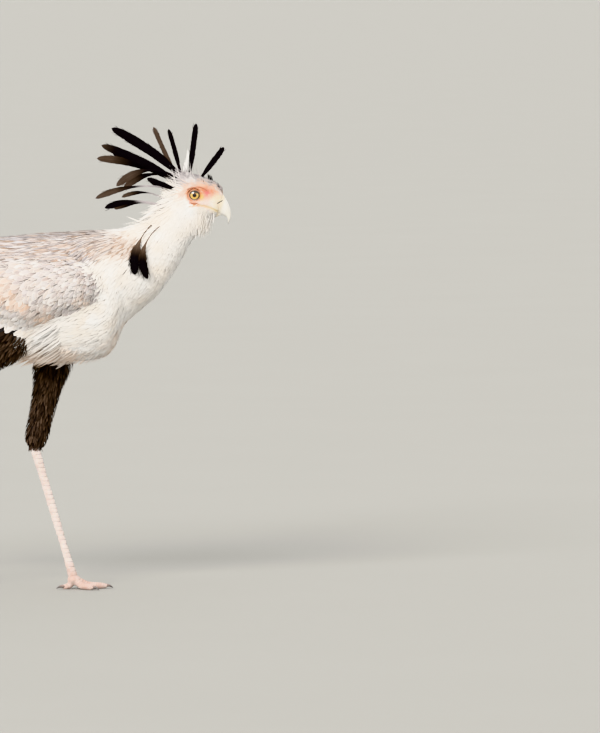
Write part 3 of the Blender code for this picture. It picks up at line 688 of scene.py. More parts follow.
# Random patches of the markings and the relief: their size, and the seed of their pattern.
PATCHES = {
    "body": (0.022, 1), "body_fine": (0.007, 2), "body_white": (0.010, 3), "blush": (0.004, 7),
    "mask": (0.004, 4), "speckle": (0.0030, 5), "flecks": (0.0026, 14), "throat": (0.005, 8),
    "face": (0.0035, 6), "face_fine": (0.0016, 9), "face_dark": (0.0022, 10), "wrinkles": (0.0034, 41),
    "wing_broad": (0.055, 11), "wing": (0.020, 12), "wing_fine": (0.008, 13),
    "thigh": (0.008, 21), "thigh_fine": (0.004, 22), "leg": (0.006, 31), "pebbles": (0.0030, 51),
    "tail": (0.030, 91),
}

SHOULDER_PATCH = (0.4137, 0.735)  # middle of the tan patch at the foot of the neck (x, z)
SHOULDER_REACH = (0.034, 0.026)
MANTLE_EDGE = (0.311, 0.691, 0.48)  # a point (x, z) of the mantle's lower edge, and its slope
WING_MIDDLE = 0.645  # height of the foremost point of the wing's edge
WING_BEND = 9.7  # how sharply the wing's edge runs back above and below it, per metre
WARM_SPOTS = (  # peach spots of the folded wing: x, z, radius
    (0.155, 0.652, 0.024), (0.168, 0.630, 0.018), (0.207, 0.612, 0.014), (0.245, 0.590, 0.020),
    (0.320, 0.622, 0.010), (0.060, 0.660, 0.026), (-0.010, 0.640, 0.024), (0.020, 0.690, 0.020),
)

# Edge of the bare face, as two ellipses: middle ahead of and above the eye, half width, half height.
MASK = ((0.014, 0.0010, 0.037, 0.0222), (0.042, -0.0160, 0.026, 0.0225))
LID_FLATNESS = 1.15  # how much wider than high the gap between the lids is

# Creases of the face, from and to these distances ahead of the eye, at a height above it of
# rise + slope * ahead + bend * ahead squared; then the groove's width and depth.
FACE_LINES = {
    "upper fold": (-0.0225, 0.0300, 0.0168, 0.15, -17.0, 0.0010, 0.0011),
    "lid fold": (-0.0160, 0.0120, 0.0136, 0.02, -36.0, 0.0008, 0.0008),
    "lower fold": (-0.0115, 0.0085, -0.0182, -0.10, 4.0, 0.0009, 0.0010),
    "gape": (-0.0120, 0.0500, -0.0210, 0.06, -7.0, 0.0009, 0.0013),
}
GAPE_WIDTH = 0.0024

# Colours along the creases: colour, crease, strength and width. The dark fold colour is partly the skin's own
# and partly painted shade in the creases.
LINE_COLOURS = (
    ("face_yellow", "gape", 0.55, GAPE_WIDTH), ("fold", "upper fold", 0.85, 0.0014),
    ("fold", "lid fold", 0.65, 0.0010), ("face_orange", "lower fold", 0.85, 0.0028),
    ("fold", "lower fold", 0.75, 0.0012),
)

# Spots of the face: middle ahead of and above the eye, half width, half height, and strength or height.
ORANGE_SPOTS = (
    (0.019, 0.0110, 0.016, 0.0080, 0.90), (-0.019, 0.008, 0.008, 0.007, 0.50),
    (0.037, 0.006, 0.010, 0.008, 0.45),
)
PINK_SPOTS = ((0.0262, 0.0040, 0.0085, 0.0085, 1.0), (0.010, -0.021, 0.016, 0.004, 0.5))
YELLOW_SPOTS = ((0.0150, -0.0035, 0.0045, 0.0060, 0.90),)
BROW_HOLLOW_CHEEK = (
    (0.004, 0.0175, 0.020, 0.0050, 0.0024), (0.0250, 0.0020, 0.0100, 0.0080, -0.0020),
    (-0.004, -0.0310, 0.0150, 0.0100, 0.0012),
)
CHIN_HOLLOW = ((0.038, -0.053, 0.018, 0.014, 0.0048),)
ORANGE_RING = (0.0135, 0.0032)  # radius and width of the orange ring round the eye


def mottle(points, name):
    """One of the random patterns, from -1 to 1."""
    return noise(points, *PATCHES[name])


def face_place(points):
    """Side-view offsets from the eye's middle: forwards, upwards, and the distance."""
    ahead = points[:, 0] - EYE_CENTRE[0]
    above = points[:, 2] - EYE_CENTRE[2]
    return ahead, above, np.hypot(ahead, above)


def lid_reach(points):
    """Distance from the eye's middle, stretched so that the gap between the lids is wider than it is high."""
    ahead, above, _ = face_place(points)
    return np.hypot(ahead, LID_FLATNESS * above)


def face_line(points, name, width):
    """1 along a crease of the face, falling off as a bell curve of that width."""
    start, end, rise, slope, bend, _, _ = FACE_LINES[name]
    ahead, above, _ = face_place(points)
    height = rise + slope * ahead + bend * ahead**2
    ends = ramp(ahead, start - 0.002, start + 0.004) * ramp(ahead, end + 0.002, end - 0.004)
    return hump(above, height, width) * ends


def face_spots(points, spots):
    """Sum of bell curves over the face, each as strong, wide and high as its row says."""
    forward, upward, _ = face_place(points)
    return sum(
        strength * np.exp(-(((forward - ahead) / wide) ** 2) - ((upward - above) / high) ** 2)
        for ahead, above, wide, high, strength in spots
    )


def slit(points):
    """1 in the nostril's slit, falling off as a bell curve across it."""
    start, end = np.array(NOSTRIL)
    chord = end - start
    flat = points[:, (0, 2)] - start
    share = np.clip(flat @ chord / (chord @ chord), 0.0, 1.0)
    off = np.linalg.norm(flat - share[:, None] * chord, axis=1)
    return hump(off, 0.0, NOSTRIL_WIDTH)


def mask_reach(points):
    """1 at the edge of the bare face, less inside, more outside."""
    ahead, above, _ = face_place(points)
    return np.min([np.hypot((ahead - x) / wide, (above - z) / high) for x, z, wide, high in MASK], axis=0)


def bare_face(points):
    """1 on the bare skin round and in front of the eye and along the gape, 0 on the feathered head."""
    ragged = mask_reach(points) + 0.14 * mottle(points, "mask")
    gape = 0.9 * face_line(points, "gape", GAPE_WIDTH)
    return np.maximum(ramp(ragged, 1.04, 0.80), gape) * ramp(points[:, 0], 0.508, 0.520)


def bare_head_tint(points):
    """Colours of the bare face over the feathered head's own colour."""
    ahead, above, reach = face_place(points)
    patchy = 0.5 * mottle(points, "face") + 0.5 * mottle(points, "face_fine")
    pale = painted(
        hue("face_peach"),
        ("cere", ramp(ahead, 0.024, 0.042) * ramp(above, 0.012, -0.006)),
        ("white", 0.6 * ramp(above, -0.004, -0.016) * ramp(ahead, 0.050, 0.034)),
    )
    flecks = ramp(mottle(points, "flecks"), -0.1, 0.6)
    flecks = flecks * ramp(ahead, 0.022, 0.038) * ramp(above, -0.006, 0.006)
    orange = face_spots(points, ORANGE_SPOTS) + 0.75 * hump(reach, *ORANGE_RING)
    orange = np.clip(orange, 0.0, 0.9) * (0.75 + patchy)
    pink = np.clip(face_spots(points, PINK_SPOTS), 0.0, 1.0) * (0.62 + 0.80 * patchy)
    # Black rim round the gap between the lids; it widens over the top as painted shade of the brow.
    rim = hump(lid_reach(points), size("eye_opening") + 0.0003, 0.0012 + 0.0012 * ramp(above, 0.0, 0.009))
    return painted(
        blend(body_tint(points), pale, bare_face(points) * 0.9),
        ("lilac", 0.6 * flecks),
        ("face_orange", orange),
        ("fold", 0.8 * orange * ramp(mottle(points, "face_dark"), 0.25, 0.75)),
        ("face_pink", pink),
        ("face_yellow", face_spots(points, YELLOW_SPOTS)),
        *((colour, share * face_line(points, name, width)) for colour, name, share, width in LINE_COLOURS),
        ("black", 0.95 * ramp(slit(points), *NOSTRIL_DARK)),
        ("black", 0.93 * rim),
    )


def mantle_share(points):
    """1 on the streaked mantle, 0 on the rest of the body."""
    station, angle, _ = body_place(points)
    x, z, slope = MANTLE_EDGE
    above = points[:, 2] - z - slope * (points[:, 0] - x)
    ragged = above + 0.006 * mottle(points, "body") + 0.004 * mottle(points, "body_fine")
    return ramp(ragged, -0.004, 0.008) * ramp(station, 7.0, 6.0) * ramp(np.abs(angle), 1.7, 1.4)


def shoulder_patch(points):
    """1 on the tan patch at the foot of the neck, fading with ragged edges."""
    reach = np.linalg.norm((points[:, (0, 2)] - SHOULDER_PATCH) / SHOULDER_REACH, axis=1)
    return ramp(reach + 0.3 * mottle(points, "body_fine"), 1.25, 0.45)


def body_tint(points):
    """Markings of the trunk, neck and head: the same on the skin and on the feathers."""
    station, angle, _ = body_place(points)
    turn = np.abs(angle)
    ahead, above, _ = face_place(points)
    broad = mottle(points, "body")
    fine = mottle(points, "body_fine")
    mantle = painted(
        hue("lilac"),
        ("tan", 0.42 + 0.50 * broad + 0.40 * fine),
        ("white", 0.06 + 0.45 * mottle(points, "body_white")),
        ("slate", 0.7 * ramp(turn, 0.55, 0.15) * hump(station, 2.2, 1.6)),
    )
    height = above + 0.25 * np.maximum(ahead - 0.020, 0.0) + 0.004 * fine
    crown = ramp(height, 0.011, 0.023) * ramp(station, 10.8, 11.6)
    blush = ramp(mask_reach(points) + 0.3 * mottle(points, "blush"), 1.45, 0.9) * ramp(above, -0.008, 0.004)
    fringe = ramp(turn, 2.45, 2.95) * hump(station, 3.4, 1.7)
    return painted(
        blend(blend(hue("white"), hue("cream"), 0.26 + 0.32 * broad), mantle, mantle_share(points)),
        ("tan", shoulder_patch(points) * 0.5),
        ("lilac", crown * (0.82 + 0.35 * fine)),
        ("face_peach", blush * ramp(station, 10.4, 11.4) * 0.65),
        ("black", 0.8 * crown * ramp(station, 13.0, 14.5) * ramp(mottle(points, "speckle"), 0.25, 0.55)),
        ("peach", fringe * (0.42 + 0.50 * broad)),
        ("slate", 0.8 * ramp(station, 1.5, 0.6) * ramp(turn, 1.9, 1.3)),
    )


def wing_front(points):
    """Distance along X, measured so that the wing's rounded front edge lies at one value."""
    return points[:, 0] + WING_BEND * (points[:, 2] - WING_MIDDLE) ** 2


def wing_tint(points):
    """Markings of the folded wing's coverts."""
    x, _, z = points.T
    patchy = mottle(points, "wing")
    fine = mottle(points, "wing_fine")
    warm = 1.1 * sum(hump(np.hypot(x - middle, z - height), 0.0, wide) for middle, height, wide in WARM_SPOTS)
    warm = warm * (0.6 + 0.6 * patchy) + 0.30 * mottle(points, "wing_broad") * ramp(x, 0.15, 0.05)
    return painted(
        hue("lilac"),
        ("white", 0.15 + 0.28 * patchy + 0.22 * fine),
        ("peach", np.clip(warm + 0.06, 0.0, 0.6)),
        ("white", 0.8 * ramp(z + 0.45 * (x - 0.170) + 0.012 * patchy, 0.615, 0.590)),
        ("tan", ramp(z, 0.690, 0.725) * np.clip(0.35 + 0.5 * patchy, 0.0, 0.7)),
        ("white", 0.95 * ramp(wing_front(points) + 0.004 * fine, 0.356, 0.363)),
    )


def thigh_tint(points):
    """Black thighs with brown glints."""
    glint = ramp(mottle(points, "thigh") + 0.5 * mottle(points, "thigh_fine"), 0.10, 0.95)
    return painted(hue("black"), ("brown_black", glint * 0.8))


def leg_tint(points):
    """Bare shank and foot: pinkish white, redder in patches, darker on the toes."""
    low = ramp(points[:, 2], 0.080, 0.020)
    return painted(hue("leg"), ("leg_shade", 0.18 + 0.26 * mottle(points, "leg") + 0.62 * low))


TINTS = {"body": bare_head_tint, "wing": wing_tint, "thigh": thigh_tint, "bare": leg_tint}

# ---- skin ----

# Depth of the skin under the feathers' tips along the body: station, depth.
BODY_DEPTH = (
    (0.0, 0.0060), (4.0, 0.0068), (6.5, 0.0058), (9.0, 0.0044), (10.5, 0.0028), (12.5, 0.0018),
    (16.0, 0.0010),
)
HORN_INSET = 0.0012  # how far the filling of the bill and the claws lies inside them
LID_WIDTH = 0.0040
LID_THICKNESS = 0.0011
SOCKET_DEPTH = 0.0040  # of the skin behind the eyeball's surface
BILL_HEART = (0.598, 0.0, 0.815)  # the point towards which the filling of the bill is drawn
EYE_INNER = 0.012  # half the distance between the eyes' inner sides
SHANK_TOP = 0.320  # below these heights the skin is cut finer
FOOT_TOP = 0.060
LID_RINGS = (0.0180, 0.0205, 0.0232)  # radii of the fine rings below the eye
LID_RING_DEPTH = 0.0005
LID_RING_WIDTH = 0.0007
WRINKLE_DEPTH = 0.0006
GROOVE_DEPTH = 0.0005  # of the grooves between the shank's plates
PEBBLE_HEIGHT = 0.00022
ROOM_START = 0.0004  # how deep under the surface the room inside is measured from
ROOM_REACH = 0.060  # and how far
ROOM_SHARE = 0.30  # of that room that the coat's depth may take


def joined_nodes(groups):
    """Points and triangles of all the nodes in the groups, and each triangle's group."""
    points, triangles, kinds, start = [], [], [], 0
    for kind, names in enumerate(groups):
        for name in names:
            place, faces = node_arrays(name)
            if name in HORN_NODES:
                place = place - point_normals(place, faces) * HORN_INSET
            points.append(place)
            triangles.append(faces + start)
            kinds.append(np.full(len(faces), kind))
            start += len(place)
    return np.vstack(points), np.vstack(triangles), np.concatenate(kinds)


def remeshed(points, triangles, voxel):
    """One closed surface round all the solids, on a voxel grid."""
    source = placed("skin_source", new_mesh("skin_source", points, triangles))
    step = source.modifiers.new("remesh", "REMESH")
    step.mode = "VOXEL"
    step.voxel_size = voxel
    ready = source.evaluated_get(bpy.context.evaluated_depsgraph_get())
    arrays = mesh_arrays(bpy.data.meshes.new_from_object(ready))
    bpy.data.objects.remove(source)
    return arrays


def biggest_part(points, triangles):
    """Points and triangles of the largest joined part: each point takes its neighbours' lowest number."""
    label = np.arange(len(points))
    while True:
        lower = label.copy()
        np.minimum.at(lower, triangles.ravel(), np.repeat(label[triangles].min(axis=1), 3))
        lower = lower[lower]
        if (lower == label).all():
            break
        label = lower
    kept = label == np.bincount(label).argmax()
    number = np.cumsum(kept) - 1
    return points[kept], number[triangles[kept[triangles[:, 0]]]]


def refined(points, triangles, inside):
    """The edges inside the region cut in two, and the triangles beside them to match."""
    mesh = new_mesh("refined", points, triangles)
    middles = points[values_of(mesh.edges, "vertices", 2)].mean(axis=1)
    shape = bmesh.new()
    shape.from_mesh(mesh)
    shape.edges.ensure_lookup_table()
    chosen = [shape.edges[k] for k in np.flatnonzero(inside(middles))]
    bmesh.ops.subdivide_edges(shape, edges=chosen, cuts=1, use_grid_fill=True)
    bmesh.ops.triangulate(shape, faces=shape.faces)
    shape.to_mesh(mesh)
    shape.free()
    return mesh_arrays(mesh)


def near_face(points):
    """On the head, where the skin is cut finer."""
    return (points[:, 0] > 0.495) & (points[:, 2] > 0.765)


def near_eye(points):
    """On the lids and the skin round them."""
    _, _, reach = face_place(points)
    return (reach < 0.021) & (np.abs(points[:, 1]) > EYE_INNER)


def below(height):
    """A test for points lower than that height."""
    return lambda points: points[:, 2] < height


def coat_depth(points, kind):
    """How far the skin lies under the feathers' tips: nothing on bare skin."""
    station, _, _ = body_place(points)
    body = knots(station, BODY_DEPTH) * (1.0 - 0.85 * bare_face(points))
    return np.choose(kind, (body, size("wing_depth"), size("thigh_depth"), 0.0))


def sculpt_face(points, normals):
    """Brow, the hollow before the eye, the cheek, the folds, the groove of the gape and the nostril."""
    _, above, reach = face_place(points)
    out = face_spots(points, BROW_HOLLOW_CHEEK)
    for name, (*_, width, depth) in FACE_LINES.items():
        out -= depth * face_line(points, name, width)
    for radius in LID_RINGS:
        out -= LID_RING_DEPTH * hump(reach, radius, LID_RING_WIDTH) * ramp(above, 0.002, -0.008)
    out -= WRINKLE_DEPTH * np.abs(mottle(points, "wrinkles")) * bare_face(points)
    out -= NOSTRIL_DEPTH * ramp(slit(points), *NOSTRIL_WALL)
    head = ramp(points[:, 0], 0.505, 0.518) * ramp(np.abs(points[:, 1]), 0.003, 0.009)
    return points + normals * (out * head - face_spots(points, CHIN_HOLLOW))[:, None]


def open_lids(points):
    """Draws the skin round each eye: behind the ball inside the opening, over its rim in a rounded lid.

    The ball's outer face is an ellipse over the distance from the eye's middle; the lid follows it one lid's
    thickness further out and runs back into the face over the lid's width.
    """
    _, _, reach = face_place(points)
    share = np.clip(reach / EYE_HALF[0], 0.0, 1.0)
    ball = EYE_CENTRE[1] + EYE_HALF[1] * np.sqrt(1.0 - share**2)
    past = lid_reach(points) - size("eye_opening")
    roll = LID_THICKNESS * np.sqrt(np.clip((past + 0.0003) / (0.5 * LID_WIDTH), 0.0, 1.0))
    width = np.abs(points[:, 1])
    outside = ramp(past, 0.40 * LID_WIDTH, 2.0 * LID_WIDTH)
    drawn = (ball + roll) * (1.0 - outside) + width * outside - SOCKET_DEPTH * ramp(past, 0.0002, -0.0006)
    near = (width > EYE_INNER) & (past < 2.0 * LID_WIDTH)
    return np.where(near[:, None] & (np.arange(3) == 1), (drawn * np.sign(points[:, 1]))[:, None], points)


def sculpt_legs(points, normals, bare):
    """Broad scutes down the front of the shank and over the toes, pebbled scales elsewhere.

    A groove runs round where the distance down the limb reaches a whole number of scutes.
    """
    height = points[:, 2]
    down = np.abs((height / size("scute")) % 1.0 - 0.5) * 2.0
    front = ramp(normals[:, 0], -0.60, -0.20) * ramp(height, 0.022, 0.040)
    groove = GROOVE_DEPTH * ramp(down, 0.80, 1.0) * front
    toe = ramp(height, 0.030, 0.018) * ramp(normals[:, 2], 0.10, 0.45)
    pebble = PEBBLE_HEIGHT * mottle(points, "pebbles") * (1.0 - front) * (1.0 - 0.7 * toe)
    out = (pebble - groove) * bare * ramp(height, 0.0005, 0.0025)
    return points + normals * out[:, None]


def share_of(name, kind, triangles, count):
    """1 on one kind of coat and 0 on the others, smoothed that many times."""
    return smoothed((kind == KINDS.index(name)).astype(float), triangles, count)


def filleted(points, triangles, kind):
    """The points with the step where the breast meets the wing's front edge smoothed away."""
    wing = share_of("wing", kind, triangles, 10)
    seam = np.clip(4.0 * wing * (1.0 - wing), 0.0, 1.0) ** 0.5 * ramp(points[:, 0], 0.22, 0.30)
    return points + (smoothed(points, triangles, 30) - points) * seam[:, None]


def bill_reach(points):
    """Distance along X, measured so that the leaning foot of the bill lies at one value."""
    return points[:, 0] - BILL_LEAN * (points[:, 2] - BILL_FOOT)


def tucked(points):
    """The points with the filling of the bill drawn together, so that it stays well inside the horn."""
    _, y, z = points.T
    inside = ramp(np.abs(y), 0.017, 0.013) * ramp(z, 0.840, 0.828) * ramp(z, 0.760, 0.770)
    share = 0.6 * inside * ramp(bill_reach(points), 0.594, 0.604)
    return points + (np.array(BILL_HEART) - points) * share[:, None]


def skin_arrays():
    """The skin's points, triangles and kinds of coat.

    The solids are joined on a voxel grid, cut finer where the skin shows, drawn back onto the solids,
    smoothed, moved in by the coat's depth and sculpted.
    """
    groups = (*FLESH.values(), HORN_NODES + EYE_NODES)
    source, faces, kinds = joined_nodes(groups)
    points, triangles = biggest_part(*remeshed(source, faces, size("voxel")))
    for region in (near_face, below(SHANK_TOP), near_face, below(FOOT_TOP), near_eye):
        points, triangles = refined(points, triangles, region)
    near, index, gap = Surface(source, faces).nearest(points)
    points = np.where(gap[:, None] < size("voxel"), near, points)
    points = smoothed(points, triangles, 5)
    low = np.where(points[:, 2] < LEG_TOP, KINDS.index("bare"), KINDS.index("body"))
    kind = np.where(kinds[index] < len(KINDS), kinds[index], low)
    points = filleted(points, triangles, kind)
    normals = unit(smoothed(point_normals(points, triangles), triangles, 4))
    depth = smoothed(coat_depth(points, kind), triangles, 10)
    room = Surface(points, triangles).depth(points - normals * ROOM_START, -normals, ROOM_REACH)
    depth = np.minimum(depth, ROOM_SHARE * smoothed(room, triangles, 6))
    points = points - normals * depth[:, None]
    normals = point_normals(points, triangles)
    bare = share_of("bare", kind, triangles, 3)
    points = open_lids(sculpt_face(points, normals))
    points = tucked(sculpt_legs(points, normals, bare))
    points[:, 2] = np.maximum(points[:, 2], 0.0)
    return points, triangles, kind


def skin_tint(points, kind):
    """The markings of each kind of coat on its own part of the skin."""
    tint = np.zeros_like(points)
    for number, name in enumerate(KINDS):
        mine = kind == number
        tint[mine] = TINTS[name](points[mine])
    return tint


class BIRD_OT_skin(bpy.types.Operator):
    """One skin over the trunk, neck, head, wings, thighs, shanks and feet"""

    bl_idname = "bird.skin"
    bl_label = "Skin"

    def execute(self, context):
        points, triangles, kind = skin_arrays()
        mesh = new_mesh("skin", points, triangles)
        set_tint(mesh, smoothed(skin_tint(points, kind), triangles, 1))
        layer = mesh.attributes.new("Kind", "INT", "POINT")
        layer.data.foreach_set("value", kind.astype(np.int32))
        show("skin", mesh, skin_material(), sum(FLESH.values(), ()))
        return {"FINISHED"}


# ---- feathers ----

PATCH = 0.003  # width of a feather's patch on the map of its piece
MAP_SPAN = (0.01, 0.99)  # part of the map's width that the patches' middles fill
THIGH_HEM = 8  # rounds of smoothing that find the thigh's edges
ROOT_SINK = 0.0004  # how deep a feather's root stands in the skin
HALF_LIFT = 0.62  # share of its lift that a feather has half way

# Outline of a feather: shares of its length, and its half width there in shares of the widest.
OUTLINES = {
    "lance": ((0.0, 0.35), (0.22, 0.85), (0.50, 1.0), (0.80, 0.62)),
    "wisp": ((0.0, 0.70), (0.35, 1.0), (0.75, 0.60)),
    "oval": ((0.0, 0.35), (0.20, 0.85), (0.50, 1.0), (0.78, 0.84), (0.93, 0.46)),
}

# Cross-section of a feather: how far across (-1 to 1) and how high, in shares of the half width.
ROOF = ((-1.0, 0.0), (0.0, 1.0), (1.0, 0.0))
ARCH = ((-1.0, 0.0), (-0.55, 0.75), (0.0, 1.0), (0.55, 0.75), (1.0, 0.0))
BLADE = ((-1.0, 0.0), (-0.5, 0.8), (0.0, 1.15), (0.5, 0.8), (1.0, 0.0), (0.5, 0.45), (-0.5, 0.45))
POLE = 9.0  # mark of a feather's two end points


def outline_rings(name):
    """An outline's half widths at its rings, and the shares of its length at the rings and the tip."""
    shares, widths = np.array(OUTLINES[name]).T
    return widths, np.append(shares, 1.0)


# What a small feather has unless its tract says otherwise.
FEATHER = {
    "outline": "lance",
    "section": ROOF,
    "rise": 0.09,  # of the section, in shares of the half width
    "cling": 1.0,  # how far the feather keeps to the surface
    "free": 0.0,  # how free its root's way is of the surface
    "stand": 0.0,  # how far that way stands off the surface
    "stray": 0.07,  # how far that way strays
    "curl": 0.0,  # how far the feather bends to one side, in shares of its length
    "ragged": 0.15,  # how far its width varies along it
    "contrast": 0.25,  # of brightness between feathers
    # painted shade: how much darker a feather is at its root
    "root_shade": 0.94,
    "rim": 0.0,  # strength of its pale rim
    "mixed": (),  # other colours by name, and how much of each
}
VARIETY = (0.84, 1.16)  # shortest and longest, narrowest and widest, darkest and palest


def sharpen_hems(mesh, hem):
    """Marks both long edges of each feather sharp, so that its upper side is lit as a surface of its own.

    hem is -1 or 1 along the two edges, POLE at a feather's ends and 0 elsewhere.
    """
    first, second = hem[values_of(mesh.edges, "vertices", 2)].T
    along_edge = (first == second) & (np.abs(first) == 1.0)
    to_pole = (np.abs(first * second) == POLE) & (first != second)
    mesh.attributes.new("sharp_edge", "BOOLEAN", "EDGE").data.foreach_set("value", along_edge | to_pole)


class Coat:
    """Collects feathers and makes one piece of them."""

    def __init__(self):
        self.parts = collections.defaultdict(list)
        self.count = 0

    def add(self, course, facing, widths, shares, section, rise, tint, rim, patch, patch_size=PATCH):
        """Feathers as closed thin blades: the section, times the half width, carried along each course.

        course is each feather's middle line with the tip last, facing the way its upper side faces, widths
        its half widths at all rings but the tip, tint its colour at each ring and the tip.
        """
        count, rings = widths.shape
        section = np.array(section)
        sides = len(section)
        way = unit(np.gradient(course, axis=1))
        face = flattened(facing, way)[:, :rings, None]
        side = np.cross(way[:, :rings, None], face)
        offset = side * section[:, :1] + face * section[:, 1:] * rise
        body = course[:, :rings, None] + offset * widths[..., None, None]
        points = np.concatenate((body.reshape(count, -1, 3), course[:, :1], course[:, -1:]), axis=1)
        across = np.append(np.tile(section[:, 0], rings), (0.0, 0.0)) / 2.0 + 0.5
        along = np.append(np.repeat(shares[:-1], sides), (shares[0], shares[-1]))
        vane = np.stack((across, along), axis=1)
        edges = np.where(np.abs(section[:, 0]) == 1.0, section[:, 0], 0.0)
        hem = np.append(np.tile(edges, rings), (POLE, POLE))
        ring = np.append(np.repeat(np.arange(rings), sides), (0, rings))
        start = self.count + np.arange(count)[:, None, None] * points.shape[1]
        template = facing_out(points[0], ring_triangles(rings, sides))
        added = {
            "points": points.reshape(-1, 3),
            "triangles": (template + start).reshape(-1, 3),
            "tint": tint[:, ring].reshape(-1, 3),
            "rim": np.repeat(rim, points.shape[1]),
            "vane": np.tile(vane, (count, 1)),
            "patch": (patch[:, None] + (vane - 0.5) * patch_size).reshape(-1, 2),
            "hem": np.tile(hem, count),
        }
        for key, values in added.items():
            self.parts[key].append(values)
        self.count += count * points.shape[1]

    def build(self, name, material, replaced=()):
        """The piece, with its tint and its two maps."""
        made = {key: np.concatenate(value) for key, value in self.parts.items()}
        mesh = new_mesh(name, made["points"], made["triangles"])
        set_tint(mesh, made["tint"], made["rim"])
        set_map(mesh, "OFBake", np.clip(made["patch"], 0.0, 1.0))
        set_map(mesh, "Vane", made["vane"])
        sharpen_hems(mesh, made["hem"])
        return show(name, mesh, material, replaced)


def skin_surface():
    """The skin piece's surface and each triangle's kind of coat, which is -1 at the edges of the thighs."""
    skin = bpy.data.objects["skin"].data
    kind = values_of(skin.attributes["Kind"].data, "value")[:, 0]
    surface = Surface(*mesh_arrays(skin))
    corners = kind[surface.triangles]
    kinds = np.where((corners == corners[:, :1]).all(axis=1), corners[:, 0], -1)
    hem = share_of("thigh", kind, surface.triangles, THIGH_HEM)[surface.triangles].min(axis=1) < 0.9
    return surface, np.where((kinds == KINDS.index("thigh")) & hem, -1, kinds)


def thinned(points, gaps):
    """Numbers of the points that stay: in order, each that stays takes away those nearer than its gap."""
    tree = KDTree(len(points))
    for number, point in enumerate(points.tolist()):
        tree.insert(point, number)
    tree.balance()
    gone = np.zeros(len(points), bool)
    kept = []
    for number, (point, gap) in enumerate(zip(points.tolist(), gaps.tolist())):
        if not gone[number]:
            kept.append(number)
            gone[[hit[1] for hit in tree.find_range(point, gap)]] = True
    return np.array(kept)


def scatter(surface, chosen, gap_of, seed, crowd=5.0):
    """Roots over the chosen triangles, with no two nearer than the gap there, and the normals at them.

    More places than needed are drawn by area over the squared gap, then thinned.
    """
    rng = np.random.default_rng(seed)
    corner = surface.points[surface.triangles[chosen]]
    area = np.linalg.norm(area_vectors(corner), axis=1) / 2.0
    gap = gap_of(corner.mean(axis=1)) * size("spacing")
    expected = area / gap**2
    pick = rng.choice(len(chosen), int(expected.sum() * crowd), p=expected / expected.sum())
    share = rng.random((len(pick), 2))
    share = np.where(share.sum(axis=1, keepdims=True) > 1.0, 1.0 - share, share)
    weight = np.column_stack((1.0 - share.sum(axis=1), share))[:, :, None]
    places = (corner[pick] * weight).sum(axis=1)
    normals = (surface.normals[surface.triangles[chosen[pick]]] * weight).sum(axis=1)
    kept = thinned(places, gap[pick])
    return places[kept], unit(normals[kept])


def lay(surface, roots, normals, ways, lengths, lifts, cling):
    """Root, half-way and end points of feathers that lie on the surface, and the ways they face there.

    Half way and at the end a feather is drawn onto the surface by its cling, unless the surface is far off,
    and then lifted from it.
    """
    step = (lengths / 2.0)[:, None]
    places, faces = [roots - normals * ROOT_SINK], [normals]
    here, way = roots, ways
    for share in (HALF_LIFT, 1.0):
        free = here + way * step
        near, face = surface.settle(free)
        gap = np.linalg.norm(near - free, axis=1)
        hold = (cling * ramp(gap, 0.8 * lengths, 0.4 * lengths))[:, None]
        here = free + (near - free) * hold
        face = unit(blend(faces[-1], face, hold[:, 0]))
        places.append(here + face * (lifts * share)[:, None])
        faces.append(face)
        way = unit(blend(way, flattened(way, face), hold[:, 0]))
    return places, faces


def bowed(values, shares):
    """Parabola through three values at the shares 0, a half and 1."""
    first, middle, last = (value[:, None] for value in values)
    v = np.asarray(shares)[None, :, None]
    return first * (1 - v) * (1 - 2 * v) + middle * 4 * v * (1 - v) + last * v * (2 * v - 1)


def grow(coat, surface, roots, normals, ways, look, seed):
    """Adds a tract of small feathers to the coat.

    look holds, for all or for each, the length, half width, lift, tint and place on the map, and what
    differs from FEATHER.
    """
    look = {**FEATHER, **look}
    rng = np.random.default_rng(seed)
    count = len(roots)
    longer, wider, lighter, _ = rng.uniform(*VARIETY, (4, count))
    lengths = look["length"] * longer
    lifts = look["lift"] * rng.uniform(0.80, 1.05, count)
    ways = unit(ways + normals * look["stand"] + rng.normal(0.0, look["stray"], (count, 3)))
    ways = unit(blend(flattened(ways, normals), ways, np.broadcast_to(look["free"], count)))
    places, faces = lay(surface, roots, normals, ways, lengths, lifts, np.broadcast_to(look["cling"], count))
    curl = look["curl"] * lengths * rng.normal(0.0, 1.0, count)
    places[1] = places[1] + np.cross(faces[1], ways) * curl[:, None]
    outline, shares = outline_rings(look["outline"])
    tint = np.broadcast_to(look["tint"], (count, 3))
    for colour, strength in look["mixed"]:
        tint = blend(tint, hue(colour), strength * rng.random(count) ** 2)
    light = 1.0 + (lighter - 1.0) * look["contrast"]
    # Painted shade: each feather darker towards its root and a little paler at its tip.
    along = knots(shares, ((0.0, look["root_shade"]), (0.6, 1.0), (1.0, 1.02)))
    tint = tint[:, None] * light[:, None, None] * along[None, :, None]
    widths = (look["width"] * wider)[:, None] * outline
    widths = widths * rng.uniform(1.0 - look["ragged"], 1.0, widths.shape)
    rim = look["rim"] * rng.uniform(0.3, 1.0, count)
    line, facing = bowed(places, shares), bowed(faces, shares)
    coat.add(line, facing, widths, shares, look["section"], look["rise"], tint, rim, look["patch"])


def map_places(first, second, first_span, second_span):
    """Two measures over the skin's own shape as places on a flat map, from edge to edge."""
    measures = ((first, first_span), (second, second_span))
    return np.stack([np.interp(value, limits, MAP_SPAN) for value, limits in measures], axis=1)


DOWN = np.array((0.0, 0.0, -1.0))
TAIL_WAY = unit(np.array((-1.0, 0.0, -0.24)))

# How neighbouring feathers lean together: how far, the size of the clumps, and the seed.
BODY_CLUMPS = (0.16, 0.014, 61)
WING_CLUMPS = (0.26, 0.020, 71)
THIGH_CLUMPS = (0.22, 0.012, 81)
WISP_CLUMPS = (0.15, 0.010)

